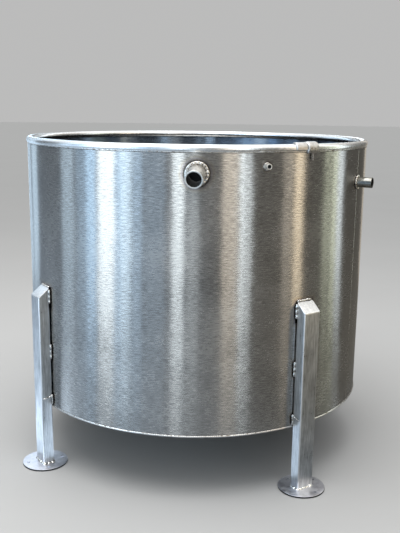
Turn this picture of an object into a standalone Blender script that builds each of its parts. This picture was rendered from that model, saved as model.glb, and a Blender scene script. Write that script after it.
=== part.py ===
"""Open-topped stainless storage tank on four welded box-section legs.

Metres, +Z up. The origin is on the tank's axis at floor level. Azimuths are in
degrees around that axis: 0 points along -Y and 90 points along +X.
"""

import math

import bmesh
import bpy
from mathutils import Matrix, Vector

# Driving dimensions of the tank
TANK_RADIUS = 0.475
WALL = 0.002
BOTTOM_PLATE = 0.003
BOTTOM_LIP = 0.0015
UNDERSIDE_Z = 0.165
RIM_CENTRE_Z = 0.8636
RIM_TUBE_RADIUS = 0.010
RIM_TUBE_WALL = 0.0015
RIM_OVERHANG = 0.003
CLEARANCE = 0.0003

# The faceted wall's outside keeps this gap to what is welded onto it
WALL_GAP = 0.0004

# The round wall and the rim are both divided into the same number of pieces
SEGMENTS = 8
WALL_STEPS = 16
RIM_STEPS = 8

# Driving dimensions of one leg and its foot
LEG_COUNT = 4
LEG_WIDTH = 0.050
LEG_DEPTH = 0.030
LEG_WALL = 0.002
LEG_CORNER = 0.004
LEG_STANDOFF = 0.002
LEG_TOP_INNER_Z = 0.4926
LEG_TOP_OUTER_Z = 0.4688
CAP_PLATE = 0.0025
FOOT_RADIUS = 0.060
FOOT_PLATE = 0.005
FOOT_HOLE_RADIUS = 0.0045
FOOT_HOLE_CIRCLE = 0.046
FOOT_HOLES = 4
FOOT_TWISTS = (8.0, -4.0, 5.0, -12.0)
LEG_NAMES = ("front_leg", "right_leg", "rear_leg", "left_leg")

# Weld beads fused to one leg: lowest and highest point of each pair of side beads
BEAD = 0.004
BEAD_DEPTH = 0.0065
BEAD_ROOT = 0.0015
BEAD_CHAMFER = 0.0011
TOP_BEAD_Z = (0.446, 0.4855)
MIDDLE_BEAD_Z = (0.300, 0.340)
LOW_BEAD_Z = (0.172, 0.200)

# Pipe fittings: azimuth and height of the root, outer radius, bore and reach.
# Each has a ring bead of its own radius and height, with a short straight toe.
SOCKET = {"azimuth": -34.4, "z": 0.8075, "radius": 0.0212, "bore": 0.0175, "reach": 0.045}
SOCKET_DROOP = 12.0
SOCKET_YAW = -8.0
SIDE_PIPE = {"azimuth": 27.0, "z": 0.770, "radius": 0.01345, "bore": 0.01115, "reach": 0.040}
BOSS = {"azimuth": -14.5, "z": 0.824, "radius": 0.00685, "bore": 0.0046, "reach": 0.013}
SOCKET_BEAD = (0.0300, 0.0070)
SIDE_PIPE_BEAD = (0.0200, 0.0045)
BOSS_BEAD = (0.0098, 0.0030)
BEAD_TOE_SHARE = 0.25
BEAD_CORE_SHARE = 0.5

# Joint of the rim tube: a saddle, a thicker knuckle and its bolt
SADDLE_AZIMUTH = (-5.4, -1.55)
SADDLE_RADIUS = 0.0140
SADDLE_ARC = (-10.0, 190.0)
KNUCKLE_AZIMUTH = (-1.4, 2.6)
KNUCKLE_RADIUS = 0.0155
KNUCKLE_ARC = (-50.0, 230.0)
RIM_JOINT_CORE = 0.0070
KNUCKLE_BOLT_AZIMUTH = 0.4
KNUCKLE_BOLT_RADIUS = 0.003
KNUCKLE_BOLT_STANDOFF = 0.0015
KNUCKLE_BOLT_LENGTH = 0.016

# Colour and roughness of each steel
FINISHES = {
    "brushed_sheet": ((0.60, 0.60, 0.59), 0.32),
    "bright_tube": ((0.74, 0.76, 0.78), 0.22),
    "fitting_steel": ((0.66, 0.66, 0.64), 0.28),
    "leg_steel": ((0.52, 0.55, 0.57), 0.36),
    "cap_steel": ((0.78, 0.80, 0.80), 0.30),
    "foot_steel": ((0.62, 0.64, 0.67), 0.34),
}

# Sides of the round shapes
PIPE_SIDES = 32
DISC_SIDES = 48
HOLE_SIDES = 12
RIM_OUTER_SIDES = 12
RIM_INNER_SIDES = 8
SADDLE_SIDES = 10
SADDLE_STEPS = 3
CORNER_STEPS = 2
SMOOTH_ANGLE = math.radians(32)
MERGE_DISTANCE = 0.000001

# Sizes that follow from the ones above
RIM_RADIUS = TANK_RADIUS + RIM_OVERHANG - RIM_TUBE_RADIUS
WALL_BOTTOM_Z = UNDERSIDE_Z + BOTTOM_PLATE + CLEARANCE
RIM_SEAT = math.sqrt(RIM_TUBE_RADIUS ** 2 - (TANK_RADIUS - WALL - RIM_RADIUS) ** 2)
WALL_TOP_Z = RIM_CENTRE_Z - RIM_SEAT - CLEARANCE
LEG_INNER = TANK_RADIUS + LEG_STANDOFF
LEG_CENTRE = LEG_INNER + LEG_DEPTH / 2
CAP_SLOPE = (LEG_TOP_INNER_Z - LEG_TOP_OUTER_Z) / LEG_DEPTH
CAP_DROP = CAP_PLATE * math.hypot(1.0, CAP_SLOPE)
SEGMENT_ANGLE = 360.0 / SEGMENTS
SEGMENT_INSET = math.degrees(CLEARANCE / 2 / TANK_RADIUS)


def clear_scene():
    """Remove whatever the scene held."""
    for old in list(bpy.data.objects):
        bpy.data.objects.remove(old, do_unlink=True)


def steel(name):
    """A stainless material with its own colour and roughness."""
    colour, roughness = FINISHES[name]
    material = bpy.data.materials.new(name)
    material.use_nodes = True
    shader = material.node_tree.nodes["Principled BSDF"]
    shader.inputs["Base Color"].default_value = (*colour, 1.0)
    shader.inputs["Roughness"].default_value = roughness
    shader.inputs["Metallic"].default_value = 1.0
    return material


def outward(azimuth):
    """Unit vector that points away from the tank's axis."""
    angle = math.radians(azimuth)
    return Vector((math.sin(angle), -math.cos(angle), 0.0))


def mesh_from(name, bm):
    """Turn a closed bmesh into mesh data with outward faces and smooth rounds."""
    bmesh.ops.remove_doubles(bm, verts=bm.verts, dist=MERGE_DISTANCE)
    bmesh.ops.recalc_face_normals(bm, faces=bm.faces)
    mesh = bpy.data.meshes.new(name)
    bm.to_mesh(mesh)
    bm.free()
    mesh.shade_smooth()
    mesh.set_sharp_from_angle(angle=SMOOTH_ANGLE)
    return mesh


def add_object(name, mesh, material=None, location=(0, 0, 0), turn=None):
    """Place mesh data as a named object."""
    obj = bpy.data.objects.new(name, mesh)
    bpy.context.collection.objects.link(obj)
    obj.location = location
    if turn is not None:
        obj.rotation_euler = turn
    if material is not None:
        obj.data.materials.clear()
        obj.data.materials.append(material)
    return obj


def add_cutter(name, mesh, location=(0, 0, 0), turn=None):
    """Place mesh data as a hidden cutter."""
    obj = add_object(name, mesh, None, location, turn)
    obj.hide_render = True
    obj.display_type = "WIRE"
    return obj


def combine(obj, other, operation):
    """Join or subtract a hidden object with an exact Boolean."""
    boolean = obj.modifiers.new(other.name, "BOOLEAN")
    boolean.operation = operation
    boolean.solver = "EXACT"
    boolean.object = other


def cut(obj, cutter):
    """Subtract a cutter from an object."""
    combine(obj, cutter, "DIFFERENCE")


def fuse(obj, addition):
    """Weld a hidden object onto an object."""
    combine(obj, addition, "UNION")


def swept_mesh(name, section, start, end, steps):
    """Sweep a section of (radius, height) points round the tank's axis."""
    bm = bmesh.new()
    first = outward(start)
    corners = [bm.verts.new(first * radius + Vector((0, 0, z))) for radius, z in section]
    face = bm.faces.new(corners)
    bmesh.ops.spin(bm, geom=[face], cent=(0, 0, 0), axis=(0, 0, 1),
                   angle=math.radians(end - start), steps=steps)
    return mesh_from(name, bm)


def turned_mesh(name, profile, sides):
    """Turn a closed profile of (radius, height) points into a ring about local Z."""
    bm = bmesh.new()
    points = [bm.verts.new((radius, 0, z)) for radius, z in profile]
    edges = [bm.edges.new((a, b)) for a, b in zip(points, points[1:] + points[:1])]
    bmesh.ops.spin(bm, geom=points + edges, cent=(0, 0, 0), axis=(0, 0, 1),
                   angle=math.tau, steps=sides, use_merge=True)
    return mesh_from(name, bm)


def rod_mesh(name, radius, bottom, top, sides):
    """A solid round bar along local Z."""
    bm = bmesh.new()
    middle = Matrix.Translation((0, 0, (bottom + top) / 2))
    bmesh.ops.create_cone(bm, cap_ends=True, segments=sides, radius1=radius,
                          radius2=radius, depth=top - bottom, matrix=middle)
    return mesh_from(name, bm)


def arc_points(centre_radius, centre_z, radius, start, end, count):
    """Points of (radius, height) on an arc around the rim tube's centre."""
    points = []
    for step in range(count + 1):
        angle = math.radians(start + (end - start) * step / count)
        points.append((centre_radius + radius * math.cos(angle),
                       centre_z + radius * math.sin(angle)))
    return points


def build_wall(material):
    """The round wall: one rolled sheet, divided into equal segments."""
    inner = TANK_RADIUS - WALL
    section = ((inner, WALL_BOTTOM_Z), (TANK_RADIUS, WALL_BOTTOM_Z),
               (TANK_RADIUS, WALL_TOP_Z), (inner, WALL_TOP_Z))
    half = SEGMENT_ANGLE / 2 - SEGMENT_INSET
    mesh = swept_mesh("wall_sheet", section, -half, half, WALL_STEPS)
    walls = {}
    for index in range(SEGMENTS):
        azimuth = index * SEGMENT_ANGLE
        wall = add_object(f"shell_wall_{index + 1}", mesh, material,
                          turn=(0, 0, math.radians(azimuth)))
        walls[azimuth] = wall
    return walls


def wall_at(walls, azimuth):
    """The wall segment that holds a given azimuth."""
    nearest = round(azimuth / SEGMENT_ANGLE) % SEGMENTS
    return walls[nearest * SEGMENT_ANGLE]


def build_bottom(material):
    """The flat bottom plate, a little wider than the wall."""
    disc = rod_mesh("bottom_disc", TANK_RADIUS + BOTTOM_LIP, UNDERSIDE_Z,
                    UNDERSIDE_Z + BOTTOM_PLATE, SEGMENTS * WALL_STEPS)
    add_object("bottom_plate", disc, material)


def build_rim(material):
    """The rolled tube round the open top, divided like the wall."""
    half = SEGMENT_ANGLE / 2 - SEGMENT_INSET
    bm = bmesh.new()
    start = outward(-half)
    outer = arc_points(RIM_RADIUS, RIM_CENTRE_Z, RIM_TUBE_RADIUS, 0, 360, RIM_OUTER_SIDES)[:-1]
    inner = arc_points(RIM_RADIUS, RIM_CENTRE_Z, RIM_TUBE_RADIUS - RIM_TUBE_WALL,
                       0, 360, RIM_INNER_SIDES)[:-1]
    loops = []
    for ring in (outer, inner):
        verts = [bm.verts.new(start * radius + Vector((0, 0, z))) for radius, z in ring]
        loops += [bm.edges.new((a, b)) for a, b in zip(verts, verts[1:] + verts[:1])]
    annulus = bmesh.ops.bridge_loops(bm, edges=loops)["faces"]
    bmesh.ops.spin(bm, geom=annulus, cent=(0, 0, 0), axis=(0, 0, 1),
                   angle=math.radians(2 * half), steps=RIM_STEPS)
    mesh = mesh_from("rim_arc", bm)
    for index in range(SEGMENTS):
        add_object(f"rim_tube_{index + 1}", mesh, material,
                   turn=(0, 0, math.radians(index * SEGMENT_ANGLE)))


def rim_envelope():
    """A cutter that follows the front arc of the rim tube, a clearance larger."""
    half = SEGMENT_ANGLE / 2 - SEGMENT_INSET
    radius = RIM_TUBE_RADIUS + CLEARANCE / math.cos(math.pi / RIM_OUTER_SIDES)
    section = arc_points(RIM_RADIUS, RIM_CENTRE_Z, radius, 0, 360, RIM_OUTER_SIDES)[:-1]
    return add_cutter("rim_envelope", swept_mesh("rim_core", section, -half, half, RIM_STEPS))


def build_rim_joint(material):
    """The saddle and the knuckle that close the rim tube, with the bolt under them."""
    envelope = rim_envelope()
    parts = (("rim_saddle", SADDLE_RADIUS, SADDLE_ARC, SADDLE_AZIMUTH),
             ("rim_knuckle", KNUCKLE_RADIUS, KNUCKLE_ARC, KNUCKLE_AZIMUTH))
    for name, radius, arc, azimuths in parts:
        outside = arc_points(RIM_RADIUS, RIM_CENTRE_Z, radius, *arc, SADDLE_SIDES)
        inside = arc_points(RIM_RADIUS, RIM_CENTRE_Z, RIM_JOINT_CORE, *arc, SADDLE_SIDES)
        mesh = swept_mesh(name, outside + inside[::-1], *azimuths, SADDLE_STEPS)
        cut(add_object(name, mesh, material), envelope)

    lip = math.radians(KNUCKLE_ARC[0])
    top = RIM_CENTRE_Z + KNUCKLE_RADIUS * math.sin(lip) - CLEARANCE
    away = TANK_RADIUS + KNUCKLE_BOLT_STANDOFF + KNUCKLE_BOLT_RADIUS
    bolt = rod_mesh("knuckle_bolt", KNUCKLE_BOLT_RADIUS, -KNUCKLE_BOLT_LENGTH, 0, HOLE_SIDES)
    place = outward(KNUCKLE_BOLT_AZIMUTH) * away + Vector((0, 0, top))
    add_object("rim_knuckle_bolt", bolt, material, place)


def fitting_frame(fitting, droop=0.0, yaw=0.0):
    """Root point on the wall and direction of a pipe fitting."""
    root = outward(fitting["azimuth"]) * TANK_RADIUS + Vector((0, 0, fitting["z"]))
    level = outward(fitting["azimuth"] + yaw)
    fall = math.radians(droop)
    direction = level * math.cos(fall) + Vector((0, 0, -math.sin(fall)))
    return root, direction


def build_fitting(name, fitting, bead, walls, envelope, material, droop=0.0, yaw=0.0):
    """A pipe stub set on the wall, its bore through the wall and its weld bead."""
    root, direction = fitting_frame(fitting, droop, yaw)
    turn = direction.to_track_quat("Z", "Y").to_euler()
    straight = outward(fitting["azimuth"]).to_track_quat("Z", "Y").to_euler()
    radius, bore, reach = fitting["radius"], fitting["bore"], fitting["reach"]
    depth = radius + WALL
    bead_radius, bead_height = bead

    pipe = turned_mesh(name, ((bore, -depth), (radius, -depth), (radius, reach), (bore, reach)),
                       PIPE_SIDES)
    stub = add_object(name, pipe, material, root, turn)
    cut(stub, envelope)

    drill = rod_mesh(name + "_drill", bore, -depth, depth, PIPE_SIDES)
    bore_cutter = add_cutter(name + "_bore", drill, root, turn)
    cut(wall_at(walls, fitting["azimuth"]), bore_cutter)

    core, toe = radius * BEAD_CORE_SHARE, bead_height * BEAD_TOE_SHARE
    cone = ((core, -depth), (bead_radius, -depth), (bead_radius, toe),
            (bead_radius - bead_height, bead_height), (core, bead_height))
    ring = turned_mesh(name + "_ring", cone, PIPE_SIDES)
    weld = add_object(name + "_weld", ring, material, root, straight)
    seat = rod_mesh(name + "_seat", radius + CLEARANCE, -2 * depth, reach, PIPE_SIDES)
    cut(weld, add_cutter(name + "_outline", seat, root, turn))
    cut(weld, envelope)


def rounded_rectangle(depth, width, corner):
    """Corner points of a rounded rectangle, anticlockwise, centred on (0, 0)."""
    points = []
    for quarter, (x_sign, y_sign) in enumerate(((1, 1), (-1, 1), (-1, -1), (1, -1))):
        centre_x = x_sign * (depth / 2 - corner)
        centre_y = y_sign * (width / 2 - corner)
        for step in range(CORNER_STEPS + 1):
            angle = math.radians(90 * (quarter + step / CORNER_STEPS))
            points.append((centre_x + corner * math.cos(angle),
                           centre_y + corner * math.sin(angle)))
    return points


def cap_top(radial):
    """Height of the cap's sloping top at a point this far outside the leg's centre."""
    return (LEG_TOP_INNER_Z + LEG_TOP_OUTER_Z) / 2 - CAP_SLOPE * radial


def cap_underside(radial):
    """Height of the cap's lower face at the same point."""
    return cap_top(radial) - CAP_DROP


def tube_top(radial):
    """Height of the tube's sloping end at the same point."""
    return cap_underside(radial) - CLEARANCE


def tube_foot(radial):
    """Height of the tube's lower end, just above its foot plate."""
    return FOOT_PLATE + CLEARANCE


def loop_at(bm, outline, height):
    """A closed loop of vertices and edges over an outline, at a height that may slope."""
    verts = [bm.verts.new((across, -radial, height(radial))) for radial, across in outline]
    edges = [bm.edges.new((a, b)) for a, b in zip(verts, verts[1:] + verts[:1])]
    return verts, edges


def leg_tube_mesh():
    """The hollow rectangular tube of a leg, cut to the slope of its cap."""
    bm = bmesh.new()
    outer = rounded_rectangle(LEG_DEPTH, LEG_WIDTH, LEG_CORNER)
    inner = rounded_rectangle(LEG_DEPTH - 2 * LEG_WALL, LEG_WIDTH - 2 * LEG_WALL,
                              LEG_CORNER - LEG_WALL)
    levels = ((outer, tube_foot), (outer, tube_top), (inner, tube_top), (inner, tube_foot))
    rings = [loop_at(bm, outline, height)[1] for outline, height in levels]
    for first, second in zip(rings, rings[1:] + rings[:1]):
        bmesh.ops.bridge_loops(bm, edges=first + second)
    return mesh_from("leg_tube", bm)


def leg_cap_mesh():
    """The sloping plate that closes the top of a leg."""
    bm = bmesh.new()
    outline = rounded_rectangle(LEG_DEPTH, LEG_WIDTH, LEG_CORNER)
    low, low_edges = loop_at(bm, outline, cap_underside)
    high, high_edges = loop_at(bm, outline, cap_top)
    bmesh.ops.bridge_loops(bm, edges=low_edges + high_edges)
    bm.faces.new(low)
    bm.faces.new(high)
    return mesh_from("leg_cap", bm)


def bars_mesh(name, bars):
    """Weld beads as rounded bars, each given by its lowest and highest corner."""
    bm = bmesh.new()
    for low, high in bars:
        size = Vector(high) - Vector(low)
        made = bmesh.ops.create_cube(bm, size=1.0)["verts"]
        bmesh.ops.scale(bm, vec=size, verts=made)
        bmesh.ops.translate(bm, vec=(Vector(low) + Vector(high)) / 2, verts=made)
    bmesh.ops.bevel(bm, geom=list(bm.edges), offset=BEAD_CHAMFER, segments=1,
                    profile=0.5, affect="EDGES")
    return mesh_from(name, bm)


def side_beads_mesh():
    """The beads down both sides of a leg, which bridge its gap to the wall."""
    wall = LEG_CENTRE - TANK_RADIUS + CLEARANCE
    inside, outside = LEG_WIDTH / 2 - BEAD_ROOT, LEG_WIDTH / 2 + BEAD
    bars = []
    for low, high in (TOP_BEAD_Z, MIDDLE_BEAD_Z, LOW_BEAD_Z):
        bars.append(((inside, wall - BEAD_DEPTH, low), (outside, wall, high)))
        bars.append(((-outside, wall - BEAD_DEPTH, low), (-inside, wall, high)))
    return bars_mesh("side_beads", bars)


def top_bead_mesh():
    """The bead along the upper edge of a leg's cap."""
    wall = LEG_CENTRE - TANK_RADIUS - WALL_GAP
    half = LEG_WIDTH / 2 - BEAD / 2
    low, high = LEG_TOP_INNER_Z - BEAD_ROOT, LEG_TOP_INNER_Z + BEAD - BEAD_ROOT
    return bars_mesh("top_bead", [((-half, wall - BEAD_DEPTH, low), (half, wall, high))])


def build_legs():
    """Four like legs, each with its welded tube, its cap and its drilled foot plate."""
    post_steel, lid_steel, foot_steel = steel("leg_steel"), steel("cap_steel"), steel("foot_steel")
    tube, cap = leg_tube_mesh(), leg_cap_mesh()
    side_beads, top_bead = side_beads_mesh(), top_bead_mesh()
    plate = rod_mesh("foot_disc", FOOT_RADIUS, 0, FOOT_PLATE, DISC_SIDES)
    drill = rod_mesh("foot_drill", FOOT_HOLE_RADIUS, -FOOT_PLATE, 2 * FOOT_PLATE, HOLE_SIDES)
    for index, name in enumerate(LEG_NAMES):
        azimuth = index * 360.0 / LEG_COUNT
        centre = outward(azimuth) * LEG_CENTRE
        turn = (0, 0, math.radians(azimuth))
        post = add_object(name + "_tube", tube, post_steel, centre, turn)
        fuse(post, add_cutter(name + "_side_beads", side_beads, centre, turn))
        lid = add_object(name + "_cap", cap, lid_steel, centre, turn)
        fuse(lid, add_cutter(name + "_top_bead", top_bead, centre, turn))
        foot = add_object(name + "_foot", plate, foot_steel, centre)
        for hole in range(FOOT_HOLES):
            bearing = azimuth + FOOT_TWISTS[index] + hole * 360.0 / FOOT_HOLES
            place = centre + outward(bearing) * FOOT_HOLE_CIRCLE
            cut(foot, add_cutter(f"{name}_drill_{hole + 1}", drill, place))


def main():
    """Build the whole tank."""
    clear_scene()
    sheet = steel("brushed_sheet")
    bright = steel("bright_tube")
    fittings = steel("fitting_steel")
    walls = build_wall(sheet)
    build_bottom(sheet)
    build_rim(bright)
    build_rim_joint(bright)
    outside = rod_mesh("outside", TANK_RADIUS + WALL_GAP, WALL_BOTTOM_Z, WALL_TOP_Z,
                       SEGMENTS * WALL_STEPS)
    envelope = add_cutter("wall_envelope", outside)
    build_fitting("front_socket", SOCKET, SOCKET_BEAD, walls, envelope, fittings,
                  SOCKET_DROOP, SOCKET_YAW)
    build_fitting("side_pipe", SIDE_PIPE, SIDE_PIPE_BEAD, walls, envelope, fittings)
    build_fitting("gauge_boss", BOSS, BOSS_BEAD, walls, envelope, fittings)
    build_legs()


main()
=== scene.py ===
"""Dress the open-topped stainless storage tank for its picture and its visual model.

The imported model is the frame, and every node of it is replaced by a finer piece of the same size
in the same place: the brushed wall with its seam, the rolled rim, turned fittings with laid weld
beads, and four welded legs. Metres, +Z up. Azimuths are in degrees round the tank's axis: 0 points
along -Y and 90 along +X.
"""
import logging
import math
from collections.abc import Callable, Iterable, Sequence
from dataclasses import dataclass
from enum import Enum
from functools import cache

import bmesh
import bpy
from mathutils import Matrix, Vector, noise


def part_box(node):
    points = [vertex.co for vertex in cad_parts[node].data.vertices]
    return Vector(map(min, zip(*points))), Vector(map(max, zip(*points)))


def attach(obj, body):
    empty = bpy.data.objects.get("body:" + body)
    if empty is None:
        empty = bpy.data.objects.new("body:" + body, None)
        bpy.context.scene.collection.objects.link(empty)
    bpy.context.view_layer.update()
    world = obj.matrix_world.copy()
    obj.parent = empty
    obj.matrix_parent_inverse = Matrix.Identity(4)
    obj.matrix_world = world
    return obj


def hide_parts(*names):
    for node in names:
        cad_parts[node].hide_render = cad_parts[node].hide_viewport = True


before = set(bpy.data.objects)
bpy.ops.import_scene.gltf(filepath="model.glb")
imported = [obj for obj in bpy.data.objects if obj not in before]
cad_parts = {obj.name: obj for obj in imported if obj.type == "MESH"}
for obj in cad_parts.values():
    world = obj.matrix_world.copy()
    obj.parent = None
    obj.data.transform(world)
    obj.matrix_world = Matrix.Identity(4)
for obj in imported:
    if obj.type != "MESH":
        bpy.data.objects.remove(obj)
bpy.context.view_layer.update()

BODY = "root"
UV_NAME = "surface"
UP = Vector((0.0, 0.0, 1.0))
MERGE = 0.000002
LOG = logging.getLogger("tank")

Colour = tuple[float, float, float]
Point = tuple[float, float]
Value = float | tuple | bpy.types.NodeSocket
Path = Callable[[float], Matrix]


class Slot(Enum):
    """Material slots of the record, which each piece names."""

    SHEET = "shell_sheet"
    BOTTOM = "bottom_sheet"
    RIM = "rim_tube"
    FITTING = "fitting_steel"
    WELD = "weld_metal"
    LEG = "leg_steel"
    CAP = "cap_steel"
    FOOT = "foot_steel"


def outward(azimuth: float) -> Vector:
    """Unit vector that points away from the tank's axis at this azimuth."""
    angle = math.radians(azimuth)
    return Vector((math.sin(angle), -math.cos(angle), 0.0))


def sideways(azimuth: float) -> Vector:
    """Level unit vector along the wall, towards growing azimuth."""
    angle = math.radians(azimuth)
    return Vector((math.cos(angle), math.sin(angle), 0.0))


def azimuth_of(place: Vector) -> float:
    """Azimuth of a place, in degrees."""
    return math.degrees(math.atan2(place.x, -place.y))


def facing(origin: Vector, x: Vector, z: Vector) -> Matrix:
    """Matrix of a local frame from its origin, its X axis and the way that its Z axis leans.

    Args:
        origin: Where the frame is.
        x: Its X axis, of any length.
        z: A direction near its Z axis, of any length.

    Returns:
        The matrix, with axes of unit length at right angles.
    """
    x = x.normalized()
    y = z.cross(x).normalized()
    return Matrix.Translation(origin) @ Matrix((x, y, x.cross(y))).transposed().to_4x4()


def arc(centre: Point, radius: float, start: float, end: float, count: int) -> list[Point]:
    """Points on an arc.

    Args:
        centre: Centre of the arc.
        radius: Its radius.
        start: Angle of the first point, in degrees from the first coordinate's axis.
        end: Angle of the last point.
        count: Number of equal steps between them.

    Returns:
        The points, both ends included.
    """
    points = []
    for step in range(count + 1):
        angle = math.radians(start + (end - start) * step / count)
        points.append((centre[0] + radius * math.cos(angle), centre[1] + radius * math.sin(angle)))
    return points


def square_turn(x: float, y: float) -> float:
    """Way round a square, from -1 to 7, of the point where a direction leaves it."""
    if abs(x) >= abs(y):
        return y / x if x > 0 else 4 + y / x
    return 2 - x / y if y > 0 else 6 - x / y


@dataclass(frozen=True)
class Plan:
    """Driving sizes of the tank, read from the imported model."""

    radius: float
    wall_low: float
    wall_high: float
    underside: float
    lip_radius: float
    rim_z: float
    rim_tube: float
    rim_radius: float
    foot_plate: float
    foot_radius: float
    leg_outer: float
    sheet: float = 0.002

    @classmethod
    def read(cls) -> "Plan":
        """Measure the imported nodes.

        Returns:
            The plan of the tank.
        """
        wall_low, wall_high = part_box("shell_wall_1")
        plate_low, plate_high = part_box("bottom_plate")
        rim_low, rim_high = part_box("rim_tube_1")
        foot_low, foot_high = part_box("front_leg_foot")
        tube = (rim_high.z - rim_low.z) / 2
        return cls(radius=-wall_low.y, wall_low=wall_low.z, wall_high=wall_high.z,
                   underside=plate_low.z, lip_radius=plate_high.x,
                   rim_z=(rim_high.z + rim_low.z) / 2, rim_tube=tube,
                   rim_radius=-rim_low.y - tube, foot_plate=foot_high.z,
                   foot_radius=(foot_high.x - foot_low.x) / 2,
                   leg_outer=-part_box("front_leg_tube")[0].y)

    def on_wall(self, azimuth: float, z: float, proud: float = 0.0) -> Vector:
        """Point on the outside of the wall, or this far in front of it."""
        return outward(azimuth) * (self.radius + proud) + UP * z


class NodeSheet:
    """Lays nodes and links in one node tree."""

    def __init__(self, tree: bpy.types.NodeTree) -> None:
        """Keep the tree that the nodes go into."""
        self.tree = tree

    def feed(self, socket: bpy.types.NodeSocket, value: Value) -> None:
        """Link a socket to another one, or set its own value.

        Args:
            socket: The input socket.
            value: A socket to link from, a number, a vector or a colour.
        """
        if isinstance(value, bpy.types.NodeSocket):
            self.tree.links.new(value, socket)
        elif socket.type == "RGBA" and len(value) == 3:
            socket.default_value = (*value, 1.0)
        else:
            socket.default_value = value

    def add(self, kind: str, inputs: dict[str | int, Value] | None = None,
            **settings: object) -> bpy.types.Node:
        """Add a node.

        Args:
            kind: Its Blender type.
            inputs: Values or sockets for its inputs, by name or number.
            **settings: Its own properties.

        Returns:
            The node.
        """
        node = self.tree.nodes.new(kind)
        for key, value in settings.items():
            setattr(node, key, value)
        for key, value in (inputs or {}).items():
            self.feed(node.inputs[key], value)
        return node

    def maths(self, operation: str, *values: Value) -> bpy.types.NodeSocket:
        """Result of a Math node."""
        return self.add("ShaderNodeMath", dict(enumerate(values)), operation=operation).outputs[0]

    def vector(self, operation: str, *values: Value) -> bpy.types.NodeSocket:
        """Result of a Vector Math node, which is a number for a length."""
        node = self.add("ShaderNodeVectorMath", dict(enumerate(values)), operation=operation)
        return node.outputs["Value" if operation in ("LENGTH", "DOT_PRODUCT") else "Vector"]

    def combine(self, x: Value = 0.0, y: Value = 0.0, z: Value = 0.0) -> bpy.types.NodeSocket:
        """A vector from three numbers."""
        return self.add("ShaderNodeCombineXYZ", {0: x, 1: y, 2: z}).outputs[0]

    def split(self, vector: Value) -> Sequence[bpy.types.NodeSocket]:
        """The three numbers of a vector."""
        return self.add("ShaderNodeSeparateXYZ", {0: vector}).outputs

    def blend(self, share: Value, first: Value, second: Value,
              mode: str = "MIX") -> bpy.types.NodeSocket:
        """Colour between two colours."""
        node = self.add("ShaderNodeMix", data_type="RGBA", blend_type=mode)
        for index, value in ((0, share), (6, first), (7, second)):
            self.feed(node.inputs[index], value)
        return node.outputs[2]

    def span(self, value: Value, source: Point, target: Point) -> bpy.types.NodeSocket:
        """Value carried from one range to another and kept inside it."""
        inputs = {0: value, 1: source[0], 2: source[1], 3: target[0], 4: target[1]}
        return self.add("ShaderNodeMapRange", inputs).outputs[0]

    def ramp(self, share: Value, stops: Sequence[tuple[float, Colour]]) -> bpy.types.NodeSocket:
        """Colour from a row of stops.

        Args:
            share: Position along the row, from 0 to 1.
            stops: Pairs of position and colour.

        Returns:
            The colour socket.
        """
        node = self.add("ShaderNodeValToRGB", {0: share})
        row = node.color_ramp.elements
        while len(row) < len(stops):
            row.new(0.5)
        for element, (position, colour) in zip(row, stops):
            element.position = position
            element.color = (*colour, 1.0)
        return node.outputs[0]

    def noise(self, vector: Value, scale: float = 1.0, detail: float = 2.0,
              rough: float = 0.5) -> bpy.types.NodeSocket:
        """Noise between 0 and 1."""
        inputs = {"Vector": vector, "Scale": scale, "Detail": detail, "Roughness": rough}
        return self.add("ShaderNodeTexNoise", inputs).outputs[0]

    def place(self, group: bpy.types.NodeTree, inputs: dict[str, Value]) -> bpy.types.Node:
        """Place a node group with its own values.

        Args:
            group: The group.
            inputs: Values or sockets for its inputs, by name.

        Returns:
            The group's node.
        """
        node = self.add("ShaderNodeGroup", node_tree=group)
        for key, value in inputs.items():
            self.feed(node.inputs[key], value)
        return node


class SocketKind(Enum):
    """Kinds of socket on a node group."""

    NUMBER = "NodeSocketFloat"
    VECTOR = "NodeSocketVector"
    COLOUR = "NodeSocketColor"


def open_group(name: str, takes: dict[str, SocketKind],
               gives: dict[str, SocketKind]) -> tuple[NodeSheet, list, bpy.types.Node]:
    """Start a shader node group.

    Args:
        name: Its name.
        takes: Its inputs.
        gives: Its outputs.

    Returns:
        A sheet for its nodes, its input sockets in order, and its output node.
    """
    tree = bpy.data.node_groups.new(name, "ShaderNodeTree")
    for key, kind in takes.items():
        tree.interface.new_socket(key, in_out="INPUT", socket_type=kind.value)
    for key, kind in gives.items():
        tree.interface.new_socket(key, in_out="OUTPUT", socket_type=kind.value)
    entry = tree.nodes.new("NodeGroupInput")
    leave = tree.nodes.new("NodeGroupOutput")
    return NodeSheet(tree), [entry.outputs[key] for key in takes], leave


@cache
def grain_group() -> bpy.types.NodeTree:
    """Brush marks: noise drawn out along the first axis of a surface.

    Returns:
        The group. It takes a place, the marks per metre along and across the grain, and how far
        they wander across it, and gives a value from 0 to 1.
    """
    number = SocketKind.NUMBER
    takes = {"Vector": SocketKind.VECTOR, "Along": number, "Across": number, "Wander": number}
    sheet, (place, along, across, wander), leave = open_group("brush_grain", takes,
                                                              {"Value": number})
    drift = sheet.noise(place, 11.0, 2.0)
    shift = sheet.maths("MULTIPLY", sheet.maths("SUBTRACT", drift, 0.5), wander)
    moved = sheet.vector("ADD", place, sheet.combine(0.0, shift, 0.0))
    scaled = sheet.vector("MULTIPLY", moved, sheet.combine(along, across, along))
    sheet.feed(leave.inputs["Value"], sheet.noise(scaled, 1.0, 3.0, 0.6))
    return sheet.tree


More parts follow.
